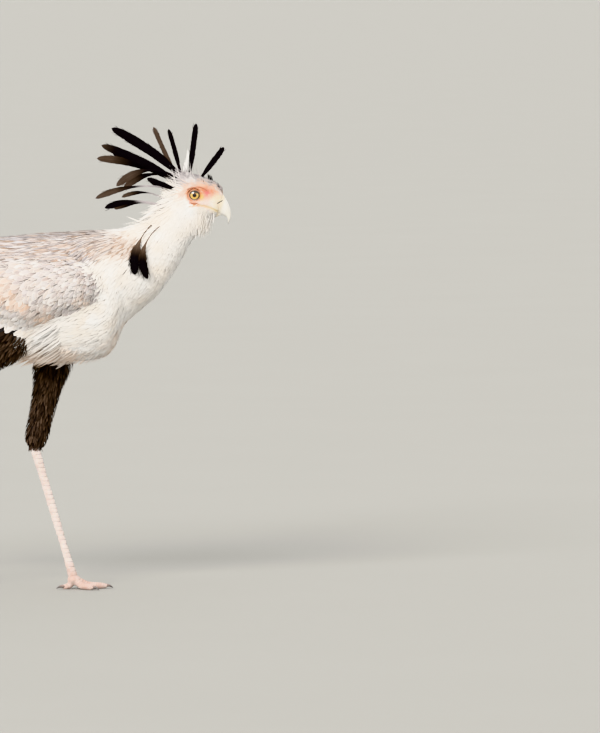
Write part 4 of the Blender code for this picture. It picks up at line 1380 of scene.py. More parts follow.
# Small feathers along the body: station and length, half width, gap between roots, lift and sag.
BODY_LENGTH = (
    (0.0, 0.062), (1.0, 0.048), (3.0, 0.040), (6.0, 0.031), (8.0, 0.024), (9.6, 0.017), (11.0, 0.011),
    (12.5, 0.0072), (16.0, 0.0042),
)
BODY_WIDTH = (
    (0.0, 0.0062), (3.0, 0.0044), (6.0, 0.0032), (8.0, 0.0022), (9.6, 0.0016), (11.0, 0.0011),
    (12.5, 0.0008), (16.0, 0.0006),
)
BODY_GAP = (
    (0.0, 0.0064), (3.0, 0.0044), (6.0, 0.0034), (8.0, 0.0026), (9.6, 0.0021), (11.0, 0.0017),
    (12.5, 0.0014), (16.0, 0.0011),
)
BODY_LIFT = (
    (0.0, 0.0050), (4.0, 0.0052), (6.5, 0.0044), (9.0, 0.0032), (10.5, 0.0020), (12.5, 0.0012),
    (16.0, 0.0006),
)
BODY_SAG = ((0.0, 0.05), (3.0, 0.40), (6.0, 0.50), (8.0, 0.30), (10.0, 0.12), (12.0, 0.0))


def clumps(points, lean, cell, seed):
    """A smooth random lean that neighbouring feathers share."""
    return lean * np.stack([noise(points, cell, seed + axis) for axis in range(3)], axis=1)


def leaving(station):
    """1 at the end of the rump, where the feathers leave the body straight for the tail."""
    return ramp(station, 1.6, 0.3)


def body_ways(points, normals):
    """Back along the spine, sagging on the flanks, in clumps that lean together; over the tail at the end."""
    station, angle, onward = body_place(points)
    sag = knots(station, BODY_SAG) * np.abs(np.sin(angle))
    lying = flattened(-onward + DOWN * sag[:, None] + clumps(points, *BODY_CLUMPS), normals)
    return unit(blend(lying, TAIL_WAY, leaving(station)))


def before_wing(points):
    """1 in the band of breast just before the wing's front edge."""
    off = np.abs(points[:, 2] - WING_MIDDLE)
    return hump(wing_front(points), 0.363, 0.019) * ramp(off, 0.090, 0.070)


def body_look(points, stations, slim=1.0):
    """Sizes, colours and map places of the small feathers at those points of the body.

    slim makes them that much longer and narrower.
    """
    station, angle, _ = body_place(points)
    streaked = mantle_share(points)
    brown = np.maximum(0.9 * streaked, shoulder_patch(points))
    return {
        "length": knots(station, BODY_LENGTH) * slim * (1.0 - 0.72 * before_wing(points)),
        "width": knots(station, BODY_WIDTH) / slim,
        "lift": knots(station, BODY_LIFT) * (1.0 - 0.4 * before_wing(points)),
        "cling": 1.0 - leaving(station),
        "free": leaving(station),
        "tint": body_tint(points),
        "mixed": (("white", 0.6 * streaked), ("tan", brown), ("slate", 0.8 * streaked)),
        "patch": map_places(station, angle, stations, (-math.pi, math.pi)),
    }


def body_gap(points):
    """Gap between the roots of the body's small feathers."""
    station, _, _ = body_place(points)
    return knots(station, BODY_GAP)


def even(gap):
    """The same gap between roots everywhere."""
    return lambda points: np.full(len(points), gap)


def chosen_triangles(surface, kinds, kind, inside):
    """Numbers of the triangles with that kind of coat whose middle is inside."""
    mine = np.flatnonzero(kinds == KINDS.index(kind))
    middle = surface.points[surface.triangles[mine]].mean(axis=1)
    return mine[inside(middle)]


def between(low, high, first_turn=0.0, last_turn=math.pi):
    """A test for points of the body between two stations and two angles from the back."""

    def inside(points):
        station, angle, _ = body_place(points)
        turn = np.abs(angle)
        return (station >= low) & (station < high) & (turn >= first_turn) & (turn <= last_turn)

    return inside


def feathered_head(points):
    """The head but for its bare skin and what the bill covers."""
    ahead_of_bill = (points[:, 0] > 0.598) & (points[:, 2] < 0.838)
    return between(HEAD_START, LAST_STATION + 1.0)(points) & (bare_face(points) < 0.35) & ~ahead_of_bill


def body_tract(coat, skin, inside, stations, seed, gap=0.0, way=None, slim=1.0, colour=None, **look):
    """Adds a tract of small feathers over one part of the body.

    The gap, the way and the colour are the body's own unless they are given.
    """
    surface, kinds = skin
    gap_of = even(gap) if gap else body_gap
    roots, normals = scatter(surface, chosen_triangles(surface, kinds, "body", inside), gap_of, seed)
    ways = body_ways(roots, normals)
    if way:
        ways = unit(0.25 * ways + unit(np.array(way)) + clumps(roots, *WISP_CLUMPS, seed))
    look = {**body_look(roots, stations, slim), **look}
    if colour:
        look["tint"] = hue(colour)
    grow(coat, surface, roots, normals, ways, look, seed + 1)


def throat(points):
    """Underside of the chin and throat."""
    x, _, z = points.T
    lowest, highest = 0.762, 0.798 + 0.006 * mottle(points, "throat")
    return between(8.6, 15.7, 2.0)(points) & (x > 0.533) & (z < highest) & (z > lowest)


def over_thigh(points):
    """The flank just before and above a thigh."""
    x, y, z = points.T
    return (x > 0.165) & (x < 0.275) & (z > 0.498) & (z < 0.575) & (np.abs(y) > 0.030)


def forehead(points):
    """Top of the head before the crest."""
    return between(13.0, 16.5, 0.0, 0.5)(points) & (points[:, 2] > CROWN_HEIGHT)


def crown_spot(x, radius):
    """A test for points of the crown's top within a circle at that distance along X."""
    return lambda points: (np.hypot(points[:, 0] - x, points[:, 1]) < radius) & (points[:, 2] > CROWN_HEIGHT)


UPPER_TURN = 1.55  # angle from the back at which the back's feathers give way to the breast's
CROWN_HEIGHT = 0.852
BLACK_TUFT = (0.581, 0.0048)  # place along X and radius of the black tuft on the forehead

# The white spire of feathers on the crown: place along X, radius, and length of its feathers.
WHITE_SPIRE = ((0.531, 0.0025, 0.044), (0.530, 0.0034, 0.030), (0.528, 0.0048, 0.018))
SPIRE_LOOK = {"way": (0.38, 0.0, 1.0), "width": 0.0011, "free": 1.0, "stray": 0.02, "colour": "white"}
TUFT_LOOK = {"free": 0.8, "rise": 0.4, "colour": "black"}

# What loose wisps share: they leave the coat, and are narrow ridges.
LOOSE = {"outline": "wisp", "cling": 0.0, "rise": 0.2, "lift": 0.002}

# Loose wisps of each piece: where, seed, gap between roots and look.
WISPS = {
    "breast": (
        (over_thigh, 116, 0.0036, {
            "way": (-0.80, 0.0, -0.55), "length": 0.054, "width": 0.0015, "free": 0.6, "stand": 0.30,
            "cling": 0.15, "lift": 0.008, "curl": 0.07, "rise": 0.25,
        }),
        (between(1.6, 6.2, 2.6), 119, 0.0060, {
            "way": (-0.65, 0.0, -0.75), "length": 0.024, "width": 0.0015, "free": 0.7, "rise": 0.25,
        }),
    ),
    "neck": (
        (between(7.8, HEAD_START, 0.0, 1.2), 126, 0.0052, {
            "way": (-1.0, 0.0, -0.30), "length": 0.042, "width": 0.0011, "free": 0.9, "curl": 0.06,
            "stray": 0.18,
        }),
    ),
    "head": (
        (throat, 136, 0.0038, {"way": (-0.05, 0.0, -1.0), "length": 0.020, "width": 0.0008, "free": 1.0}),
        (between(10.6, 11.9, 0.0, 0.8), 142, 0.0042, {
            "way": (-0.80, 0.0, 0.62), "length": 0.018, "width": 0.0009, "free": 0.8,
        }),
        (between(11.0, 12.7, 0.0, 0.5), 143, 0.0085, {
            "way": (-0.12, 0.0, 1.0), "length": 0.026, "width": 0.0009, "free": 1.0, "stray": 0.12,
        }),
        (between(HEAD_START, 11.3, 0.3, 1.5), 145, 0.0042, {
            "way": (-1.0, 0.0, -0.22), "length": 0.030, "width": 0.0007, "free": 0.8, "curl": 0.05,
        }),
        (forehead, 148, 0.0090, {
            **TUFT_LOOK, "way": (-0.35, 0.0, 1.0), "length": 0.0060, "width": 0.0008, "stray": 0.3,
        }),
        (crown_spot(*BLACK_TUFT), 151, 0.0016, {
            **TUFT_LOOK, "way": (0.1, 0.0, 1.0), "length": 0.0100, "width": 0.0014, "stray": 0.1,
        }),
        *(
            (crown_spot(x, radius), 154, 0.0020, {**SPIRE_LOOK, "length": length})
            for x, radius, length in WHITE_SPIRE
        ),
    ),
}


def add_wisps(coat, skin, part, stations):
    """Adds one piece's loose wisps."""
    for inside, seed, gap, look in WISPS[part]:
        body_tract(coat, skin, inside, stations, seed, gap, **{**LOOSE, **look})


class BIRD_OT_trunk_coat(bpy.types.Operator):
    """Small feathers of the back, breast and belly"""

    bl_idname = "bird.trunk_coat"
    bl_label = "Trunk coat"

    def execute(self, context):
        skin = skin_surface()
        stations = (0.0, NECK_START)
        upper = between(-1.0, NECK_START, 0.0, UPPER_TURN)
        back = Coat()
        body_tract(back, skin, upper, stations, 100, slim=1.35, rim=0.35, contrast=0.6)
        back.build("back_feathers", vane_material("soft_feather"))
        breast = Coat()
        body_tract(breast, skin, between(-1.0, NECK_START, UPPER_TURN), stations, 110, slim=1.15)
        add_wisps(breast, skin, "breast", stations)
        breast.build("breast_feathers", vane_material("soft_feather"))
        return {"FINISHED"}


class BIRD_OT_neck_coat(bpy.types.Operator):
    """Narrow feathers of the neck, with loose wisps down its nape"""

    bl_idname = "bird.neck_coat"
    bl_label = "Neck coat"

    def execute(self, context):
        skin = skin_surface()
        stations = (NECK_START, HEAD_START)
        coat = Coat()
        body_tract(coat, skin, between(*stations), stations, 120)
        add_wisps(coat, skin, "neck", stations)
        coat.build("neck_feathers", vane_material("soft_feather"))
        return {"FINISHED"}


class BIRD_OT_head_coat(bpy.types.Operator):
    """Fine feathers of the head, with wisps at the throat and at the back of the crown"""

    bl_idname = "bird.head_coat"
    bl_label = "Head coat"

    def execute(self, context):
        skin = skin_surface()
        stations = (HEAD_START, LAST_STATION)
        coat = Coat()
        body_tract(coat, skin, feathered_head, stations, 130, outline="wisp", rise=0.12)
        add_wisps(coat, skin, "head", stations)
        coat.build("head_feathers", vane_material("fine_feather"))
        return {"FINISHED"}


# ---- wings and thighs ----

# Wing coverts: distance along X and length, half width and gap between roots.
COVERT_LENGTH = ((-0.30, 0.052), (-0.10, 0.046), (0.10, 0.036), (0.25, 0.025), (0.354, 0.013))
COVERT_WIDTH = ((-0.30, 0.0095), (0.10, 0.0078), (0.25, 0.0058), (0.354, 0.0032))
COVERT_GAP = ((-0.30, 0.0105), (0.10, 0.0085), (0.25, 0.0062), (0.354, 0.0036))
COVERT = {
    "lift": 0.0040, "outline": "oval", "ragged": 0.28, "section": ARCH, "rise": 0.07, "rim": 0.85,
    "root_shade": 0.76, "contrast": 0.7, "curl": 0.04, "stray": 0.18,
    "mixed": (("white", 0.7), ("lilac", 0.5), ("tan", 0.35)),
}
LONG_COVERTS = (0.685, 0.715)  # heights over which the coverts turn longer and narrower
WING_END = (-0.080, -0.112)
WING_END_WAY = unit(np.array((-1.0, 0.0, -0.20)))

HAIR_GAP = 0.0065
HAIR = {
    "length": 0.024, "width": 0.0004, "lift": 0.0050, "outline": "wisp", "cling": 0.95, "rise": 0.5,
    "stray": 0.30, "curl": 0.12, "contrast": 1.0, "mixed": (("cream", 1.0), ("peach", 0.5)),
}
THIGH_GAP = 0.0044
THIGH_FEATHER = {
    "length": 0.019, "width": 0.0024, "root_shade": 0.7, "contrast": 1.0,
    "mixed": (("brown_black", 0.9), ("tan", 0.2)),
}
THIGH_LIFT = 0.0062
THIGH_FLUFF = 0.0060  # how much further out the feathers stand at the top of the thigh


def wing_end(points):
    """1 at the wing's rear end, where the coverts leave it straight for the flight feathers."""
    return ramp(points[:, 0], *WING_END)


def wing_ways(points, normals):
    """Backwards, and the lower on the wing the more downwards."""
    slope = 0.08 + 1.05 * ramp(points[:, 2], 0.710, 0.620) * ramp(points[:, 0], -0.10, 0.20)
    way = np.stack((-np.ones(len(points)), np.zeros(len(points)), -slope), axis=1)
    lying = flattened(way + clumps(points, *WING_CLUMPS), normals)
    return unit(blend(lying, WING_END_WAY, wing_end(points)))


def thigh_ways(points, normals):
    """Down the thigh, in clumps."""
    side = "left" if points[0, 1] > 0.0 else "right"
    _, _, down = limb_place(points, LIMB_LINES["thigh"][side])
    return flattened(down + clumps(points, *THIGH_CLUMPS), normals)


def covert_gap(points):
    """Gap between the roots of the coverts."""
    return knots(points[:, 0], COVERT_GAP)


def covert_look(points):
    """Shorter coverts towards the wing's front edge, longer and narrower ones along its top."""
    x, _, z = points.T
    top = 0.35 * ramp(z, *LONG_COVERTS)
    return {
        **COVERT,
        "length": knots(x, COVERT_LENGTH) * (1.0 + top),
        "width": knots(x, COVERT_WIDTH) * (1.0 - top),
        "cling": 1.0 - wing_end(points),
        "free": wing_end(points),
        "tint": wing_tint(points),
    }


def hair_look(points):
    """Loose pale barbs over the coverts."""
    return {**HAIR, "tint": hue("white")}


def thigh_look(points):
    """Black feathers that stand further out at the top of the thigh."""
    lift = THIGH_LIFT + THIGH_FLUFF * ramp(points[:, 2], 0.420, 0.490)
    return {**THIGH_FEATHER, "lift": lift, "tint": thigh_tint(points)}


def limb_tract(coat, skin, limb, side, gap_of, ways_of, look_of, seed):
    """Adds a tract of feathers over one wing or thigh."""
    surface, kinds = skin
    chosen = chosen_triangles(surface, kinds, limb, lambda points: points[:, 1] * SIDES[side] > 0)
    roots, normals = scatter(surface, chosen, gap_of, seed)
    share, angle, _ = limb_place(roots, LIMB_LINES[limb][side])
    patch = map_places(share, angle, (-0.05, 1.05), (-math.pi, math.pi))
    grow(coat, surface, roots, normals, ways_of(roots, normals), {**look_of(roots), "patch": patch}, seed + 1)


class BIRD_OT_wing_coat(bpy.types.Operator):
    """Coverts of both folded wings"""

    bl_idname = "bird.wing_coat"
    bl_label = "Wing coverts"

    def execute(self, context):
        skin = skin_surface()
        for side in SIDES:
            coat = Coat()
            limb_tract(coat, skin, "wing", side, covert_gap, wing_ways, covert_look, 200)
            limb_tract(coat, skin, "wing", side, even(HAIR_GAP), wing_ways, hair_look, 206)
            coat.build(f"wing_coverts_{side}", vane_material("covert_feather"))
        return {"FINISHED"}


class BIRD_OT_thigh_coat(bpy.types.Operator):
    """Short black feathers of both thighs"""

    bl_idname = "bird.thigh_coat"
    bl_label = "Thigh coat"

    def execute(self, context):
        skin = skin_surface()
        for side in SIDES:
            coat = Coat()
            limb_tract(coat, skin, "thigh", side, even(THIGH_GAP), thigh_ways, thigh_look, 220)
            coat.build(f"thigh_feathers_{side}", vane_material("dark_feather"))
        return {"FINISHED"}


# ---- long feathers ----

BLADE_RINGS = 36
LONG_SHARES = np.linspace(0.0, 1.0, BLADE_RINGS + 1)
BLADE_RISE = 0.10
STRAP_CLOSE = 0.82  # share of a flight feather where its end starts to round
LONG_PATCH = 0.03  # width of a long feather's patch on its piece's map

# Flight feathers of the folded wing: how far along the row, root (x, z) and tip (x, z).
FLIGHT_ROW = (0.0, 0.25, 0.5, 0.75, 1.0)
FLIGHT_ROOTS = ((0.172, 0.560), (0.098, 0.598), (0.024, 0.634), (-0.050, 0.662), (-0.105, 0.678))
FLIGHT_TIPS = ((0.000, 0.583), (-0.110, 0.594), (-0.205, 0.603), (-0.292, 0.617), (-0.272, 0.637))
FLIGHT_COUNT = 17
FLIGHT_WIDTH = 0.0135
FLIGHT_STACK = 0.0016  # how far the uppermost lies outside the lowest
FLIGHT_SINK = 0.014  # how far the roots lie under the coverts
FLIGHT_HIDDEN = 0.30  # share of a feather over which it comes out from under the coverts
FLIGHT_ARCH = 0.010  # how far a feather's middle hangs below its ends
FLIGHT_FALLBACK = 0.056  # distance from the middle plane where a feather passes beyond its solid
FLIGHT_START = 0.3  # distance from the middle plane from where the outer face is looked for
FLIGHT_SMOOTH = 9  # points over which the outer face is evened

# Tail: x, z, half width of the fan; and the long middle pair: x, z, y, half width.
TAIL_LINE = (
    (-0.045, 0.681, 0.010), (-0.120, 0.668, 0.020), (-0.220, 0.648, 0.024), (-0.330, 0.620, 0.034),
    (-0.462, 0.587, 0.036),
)
STREAMER_LINE = (
    (-0.110, 0.6800, 0.0060, 0.0050), (-0.200, 0.6660, 0.0110, 0.0070), (-0.330, 0.6310, 0.0170, 0.0140),
    (-0.460, 0.5925, 0.0185, 0.0165), (-0.560, 0.5600, 0.0185, 0.0150), (-0.6245, 0.5362, 0.0175, 0.0085),
)
TAIL_COUNT = 12
TAIL_WIDTH = 0.0125
TAIL_STACK = 0.0005  # how far each feather lies under the one nearer the middle
TAIL_ARCH = 0.006  # how far the outermost lie below the middle
TAIL_BANDS = (-0.375, -0.447)  # where the black band and the white tip start
STREAMER_BANDS = (-0.535, -0.603)

# Outline of a plume: half width of its stem in shares of the widest, where along it the vane widens and
# starts to close, and its widest in shares of its solid's half width.
LANCE = (0.45, 0.02, 0.80, 1.0)
SPOON = (0.28, 0.42, 0.80, 1.0)
NECK_SPOON = (0.12, 0.28, 0.72, 1.22)
SPIKE = (1.0, 0.0, 0.0, 0.45)
PLUME_SPREAD = 0.38  # share of a plume over which its vane widens
PALE_STEM = 0.42  # share of a spoon-shaped plume that is a pale stem
NECK_FADE = 0.35  # share of a neck plume where its brown starts to darken
HEAD_MIDDLE = (0.545, 0.0, 0.835)
PLUME_SINK = 0.07  # share of a plume's length that its root reaches into the head


def along(table, shares):
    """Smooth curve through the rows of a table, at shares of its length."""
    return spline(table, np.asarray(shares) * (len(table) - 1))


def rounded_end(share, close):
    """1 up to the share where the end starts to close, then a quarter of an ellipse down to 0."""
    closed = np.clip((share - close) / (1.0 - close), 0.0, 1.0)
    return np.sqrt(1.0 - closed**2)


def plume_outline(share, stem, start, close, widest):
    """Half width of a plume: a stem that widens smoothly and closes on a rounded point."""
    width = stem + (1.0 - stem) * ramp(share, start, start + PLUME_SPREAD)
    return widest * width * rounded_end(share, close)


def strap(share):
    """Half width of a flight feather: a narrow root, straight sides and a rounded end."""
    return np.minimum(0.25 + 3.0 * share, 1.0) * rounded_end(share, STRAP_CLOSE)


def ragged(widths, rng, depth):
    """The half widths with splits between the barbs."""
    split = rng.random(widths.shape) ** 3
    return widths * (1.0 - depth * split)


def add_long(coat, course, facing, widths, tint, number, total, rim=0.0):
    """Adds one long feather, with its own patch in a row of patches on the map."""
    patch = np.array([[(number + 0.5) / total, 0.5]])
    line, widths, tint = course[None], widths[None, :-1], tint[None]
    coat.add(line, facing, widths, LONG_SHARES, BLADE, BLADE_RISE, tint, np.array([rim]), patch, LONG_PATCH)


def outer_face(x, z, side):
    """Points of the quills' outer face at those places of the side view."""
    surface = Surface(*joined_nodes(((f"wing_{side}", f"quills_{side}"),))[:2])
    sign = SIDES[side]
    starts = np.stack((x, np.full_like(x, FLIGHT_START * sign), z), axis=-1).reshape(-1, 3)
    ways = np.tile((0.0, -float(sign), 0.0), (len(starts), 1))
    starts[:, 1] -= surface.depth(starts, ways, FLIGHT_START - FLIGHT_FALLBACK) * sign
    return starts.reshape(*x.shape, 3)


def evened(values):
    """Each value replaced by the mean of those round it, with the ends held."""
    window = np.ones(FLIGHT_SMOOTH) / FLIGHT_SMOOTH
    return np.convolve(np.pad(values, FLIGHT_SMOOTH // 2, "edge"), window, "valid")


def flight_feathers(side):
    """Courses of one folded wing's flight feathers, straight in the side view, on the wing's outer face."""
    row = np.linspace(0.0, 1.0, FLIGHT_COUNT)
    roots, tips = (
        np.stack([np.interp(row, FLIGHT_ROW, column) for column in zip(*ends)], axis=1)
        for ends in (FLIGHT_ROOTS, FLIGHT_TIPS)
    )
    shares = LONG_SHARES[None, :, None]
    flat = roots[:, None] * (1.0 - shares) + tips[:, None] * shares
    flat[..., 1] -= FLIGHT_ARCH * np.sin(LONG_SHARES * math.pi)
    courses = outer_face(flat[..., 0], flat[..., 1], side)
    courses[..., 1] = np.array([evened(y) for y in courses[..., 1]])
    sunk = FLIGHT_SINK * ramp(LONG_SHARES, FLIGHT_HIDDEN, 0.0)
    courses[..., 1] += SIDES[side] * (FLIGHT_STACK * row[:, None] - sunk)
    return courses


class BIRD_OT_flight_feathers(bpy.types.Operator):
    """Black flight feathers of both folded wings"""

    bl_idname = "bird.flight_feathers"
    bl_label = "Flight feathers"

    def execute(self, context):
        rng = np.random.default_rng(300)
        for side in SIDES:
            coat = Coat()
            facing = np.array((0.0, SIDES[side], 0.15))
            for number, course in enumerate(flight_feathers(side)):
                widths = ragged(FLIGHT_WIDTH * strap(LONG_SHARES), rng, 0.10)
                tint = painted(hue("black"), ("brown_black", rng.uniform(0.0, 0.15) + 0.15 * LONG_SHARES))
                add_long(coat, course, facing, widths, tint, number, FLIGHT_COUNT, 0.04)
            quills = (f"quills_{side}",)
            coat.build(f"flight_feathers_{side}", vane_material("dark_feather"), quills)
        return {"FINISHED"}


def tail_tint(course, band, white):
    """Grey, then a broad black band, then a white tip, by the place along X."""
    x = course[:, 0]
    return painted(
        hue("lilac"),
        ("slate", 0.5 + 0.5 * mottle(course, "tail")),
        ("black", ramp(x, band, band - 0.012)),
        ("white", ramp(x, white, white - 0.008)),
    )


class BIRD_OT_tail(bpy.types.Operator):
    """Banded tail feathers and the two long middle ones"""

    bl_idname = "bird.tail"
    bl_label = "Tail"

    def execute(self, context):
        rng = np.random.default_rng(310)
        vane = vane_material("covert_feather")
        facing = np.array((0.0, 0.0, 1.0))
        tail = Coat()
        x, z, spread = along(TAIL_LINE, LONG_SHARES).T
        for number in range(TAIL_COUNT):
            place = 2.0 * number / (TAIL_COUNT - 1) - 1.0
            stack = TAIL_STACK * abs(number - (TAIL_COUNT - 1) / 2.0)
            course = np.stack((x, spread * place, z - TAIL_ARCH * place**2 - stack), axis=1)
            widths = ragged(TAIL_WIDTH * strap(LONG_SHARES), rng, 0.08)
            add_long(tail, course, facing, widths, tail_tint(course, *TAIL_BANDS), number, TAIL_COUNT, 0.2)
        tail.build("tail_feathers", vane, ("tail",))
        x, z, y, half = along(STREAMER_LINE, LONG_SHARES).T
        for side, sign in SIDES.items():
            streamer = Coat()
            course = np.stack((x, y * sign, z), axis=1)
            widths = ragged(half * np.minimum(strap(LONG_SHARES) + 0.001, 1.0), rng, 0.06)
            add_long(streamer, course, facing, widths, tail_tint(course, *STREAMER_BANDS), 0, 1, 0.15)
            node = f"tail_streamer_{side}"
            streamer.build(f"long_tail_feather_{side}", vane, (node,))
        return {"FINISHED"}


def plume_course(name, root_near, shares):
    """A plume's middle line, the way it faces and its half width, from its solid.

    The line is the parabola nearest the solid's points along the way they spread most. The widest spread
    off that line is across the plume.
    """
    points, _ = node_arrays(name)
    off = points - points.mean(axis=0)
    chord = np.linalg.svd(off, full_matrices=False)[2][0]
    reach = off @ chord
    ends = points[reach.argmin()], points[reach.argmax()]
    if math.dist(ends[1], root_near) < math.dist(ends[0], root_near):
        chord, reach = -chord, -reach
    share = (reach - reach.min()) / np.ptp(reach)
    factors = np.polynomial.polynomial.polyfit(share, points, 2)
    off = points - np.polynomial.polynomial.polyval(share, factors).T
    across = np.linalg.svd(off, full_matrices=False)[2][0]
    course = np.polynomial.polynomial.polyval(shares, factors).T
    return course, unit(np.cross(chord, across)), np.abs(off @ across).max()


def add_loose_barbs(coat, course, facing, widths, tint, number, total, rng, count):
    """Adds thin barbs that leave the shaft forwards and reach just past a plume's edge."""
    pick = rng.integers(3, len(course) - 3, count)
    way = unit(np.gradient(course, axis=0))[pick]
    side = np.cross(way, facing) * rng.choice((-1.0, 1.0), count)[:, None]
    reach = (widths[pick] * rng.uniform(1.0, 1.20, count))[:, None]
    root = course[pick] + side * 0.5 * reach
    tip = course[pick] + side * reach + way * reach * rng.uniform(1.2, 2.2, count)[:, None]
    bend = (root + tip) / 2.0 + side * 0.12 * reach
    outline, shares = outline_rings("wisp")
    thin = np.tile(BARB_WIDTH * outline, (count, 1))
    tint = np.repeat(tint[pick][:, None], len(shares), axis=1)
    patch = ((number + 0.5) / total, 0.5) + rng.uniform(-0.012, 0.012, (count, 2))
    coat.add(bowed((root, bend, tip), shares), facing, thin, shares, ROOF, 0.6, tint, np.zeros(count), patch)


# Plumes that fade to brown, and the share of their length where they start to.
FADED = {
    "crest_rear_crown_far": -0.2, "crest_long": 0.55, "crest_droop": 0.50, "crest_droop_far": 0.60,
    "crest_curl": 0.50, "crest_curl_far": 0.60, "crest_nape_far": 0.70, "crest_broad": 0.80,
}
SPOONS = ("crest_curl", "crest_nape", "crest_droop")  # plumes on narrow stems, by the start of their names
PALE_STEMS = ("crest_curl", "crest_nape")
BARB_WIDTH = 0.0003


def outline_of(name):
    """Which outline a plume has."""
    if "white" in name:
        return SPIKE
    if "neck" in name:
        return NECK_SPOON
    return SPOON if name.startswith(SPOONS) else LANCE


def plume_tint(name, shares):
    """Black, faded to brown at the ends of some, with pale stems on the lowest; one is white."""
    if "white" in name:
        return np.tile(hue("white"), (len(shares), 1))
    if "neck" in name:
        dark = ramp(shares, NECK_FADE, NECK_FADE + 0.35)
        return painted(hue("brown_black"), ("tan", 0.2), ("black", dark))
    start = FADED.get(name, 1.0)
    tint = painted(hue("black"), ("brown_black", 0.8 * ramp(shares, start, start + 0.3)))
    if name.startswith(PALE_STEMS):
        tint = painted(tint, ("lilac", ramp(shares, PALE_STEM + 0.10, PALE_STEM - 0.06)))
    return tint


def plume_piece(name, nodes, seed, frayed, loose):
    """One piece of plumes in place of their solids, so frayed and with so many loose barbs each."""
    rng = np.random.default_rng(seed)
    coat = Coat()
    for number, node in enumerate(nodes):
        course, facing, half = plume_course(node, HEAD_MIDDLE, LONG_SHARES * (1.0 + PLUME_SINK) - PLUME_SINK)
        widths = ragged(half * plume_outline(LONG_SHARES, *outline_of(node)), rng, frayed)
        tint = plume_tint(node, LONG_SHARES)
        add_long(coat, course, facing, widths, tint, number, len(nodes))
        add_loose_barbs(coat, course, facing, widths, tint, number, len(nodes), rng, loose)
    return coat.build(name, vane_material("dark_feather"), nodes)


class BIRD_OT_crest(bpy.types.Operator):
    """Spoon-shaped plumes of the crest and of the sides of the neck"""

    bl_idname = "bird.crest"
    bl_label = "Crest"

    def execute(self, context):
        plume_piece("crest_plumes", CREST_NODES, 320, 0.10, 40)
        plume_piece("neck_plumes", NECK_PLUME_NODES, 330, 0.30, 110)
        return {"FINISHED"}


# ---- bill, eyes, claws and lashes ----

# Bill: ridge (x, z), edge (x, z) and half width from the face to the tip.
UPPER_BILL = (
    (0.5880, 0.8424, 0.5760, 0.8040, 0.0187), (0.5975, 0.8410, 0.5850, 0.8005, 0.0174),
    (0.6075, 0.8345, 0.5930, 0.7972, 0.0152), (0.6155, 0.8220, 0.6010, 0.7945, 0.0118),
    (0.6212, 0.8090, 0.6085, 0.7915, 0.0088), (0.6240, 0.7970, 0.6142, 0.7885, 0.0062),
    (0.6235, 0.7865, 0.6172, 0.7835, 0.0040), (0.6200, 0.7775, 0.6176, 0.7772, 0.0016),
)
LOWER_BILL = (
    (0.5800, 0.8070, 0.5790, 0.7880, 0.0095), (0.5900, 0.8050, 0.5890, 0.7880, 0.0088),
    (0.5975, 0.8010, 0.5970, 0.7898, 0.0066), (0.6030, 0.7975, 0.6025, 0.7918, 0.0040),
)
BILL_HALVES = {  # each half's stations, and its first and last points
    "bill_upper": (UPPER_BILL, ((0.5790, 0.0, 0.8250), (0.6184, 0.0, 0.7738))),
    "bill_lower": (LOWER_BILL, ((0.5740, 0.0, 0.7945), (0.6052, 0.0, 0.7942))),
}
CERE_RIDGE = 0.0004  # height of the ridge where the cere ends
BILL_ROWS = 72
BILL_SIDES = 56
EYE_ROWS = 56
EYE_SIDES = 72


def bill_rings(stations):
    """Rings round a half of the bill: an ellipse between ridge and edge with flattened sides."""
    path = along(stations, np.linspace(0.0, 1.0, BILL_ROWS))
    turn = np.linspace(0.0, 2.0 * math.pi, BILL_SIDES, endpoint=False)
    middle = (path[:, 0:2] + path[:, 2:4]) / 2.0
    up = (path[:, 0:2] - path[:, 2:4]) / 2.0
    rise = np.cos(turn)
    across = np.sign(np.sin(turn)) * np.abs(np.sin(turn)) ** 0.85
    flat = middle[:, None] + up[:, None] * rise[None, :, None]
    return np.stack((flat[..., 0], path[:, 4:5] * across, flat[..., 1]), axis=-1)


def bill_tint(points):
    """Waxy cere at the face, then pale horn that turns darker towards the bottom, a dark nostril and a pale
    edge.
    """
    ahead = bill_reach(points)
    tint = painted(hue("cere"), ("bill", ramp(ahead, 0.595, 0.607)))
    # darker towards the bottom: a dimmer copy of the bill's own colour below the gape's height
    tint = blend(tint, hue("bill") * 0.62, 0.7 * ramp(points[:, 2], 0.790, 0.775))
    dark = 0.95 * ramp(slit(points), *NOSTRIL_DARK)
    return painted(tint, ("white", 0.35 * hump(ahead, 0.607, 0.006)), ("black", dark))


class BIRD_OT_bill(bpy.types.Operator):
    """Hooked upper bill with its cere and nostrils, and the lower bill"""

    bl_idname = "bird.bill"
    bl_label = "Bill"

    def execute(self, context):
        horn = horn_material("bill_horn", 0.38, (260.0, 60.0, 90.0))
        for name, (stations, poles) in BILL_HALVES.items():
            points, triangles = closed_loft(bill_rings(stations), *poles)
            side = ramp(np.abs(points[:, 1]), 0.002, 0.005)
            out = CERE_RIDGE * hump(bill_reach(points), 0.5975, 0.0018)
            out -= NOSTRIL_DEPTH * ramp(slit(points), *NOSTRIL_WALL) * side
            mesh = new_mesh(name, points + point_normals(points, triangles) * out[:, None], triangles)
            set_tint(mesh, bill_tint(points))
            show(f"{name}_horn", mesh, horn, (name,))
        return {"FINISHED"}


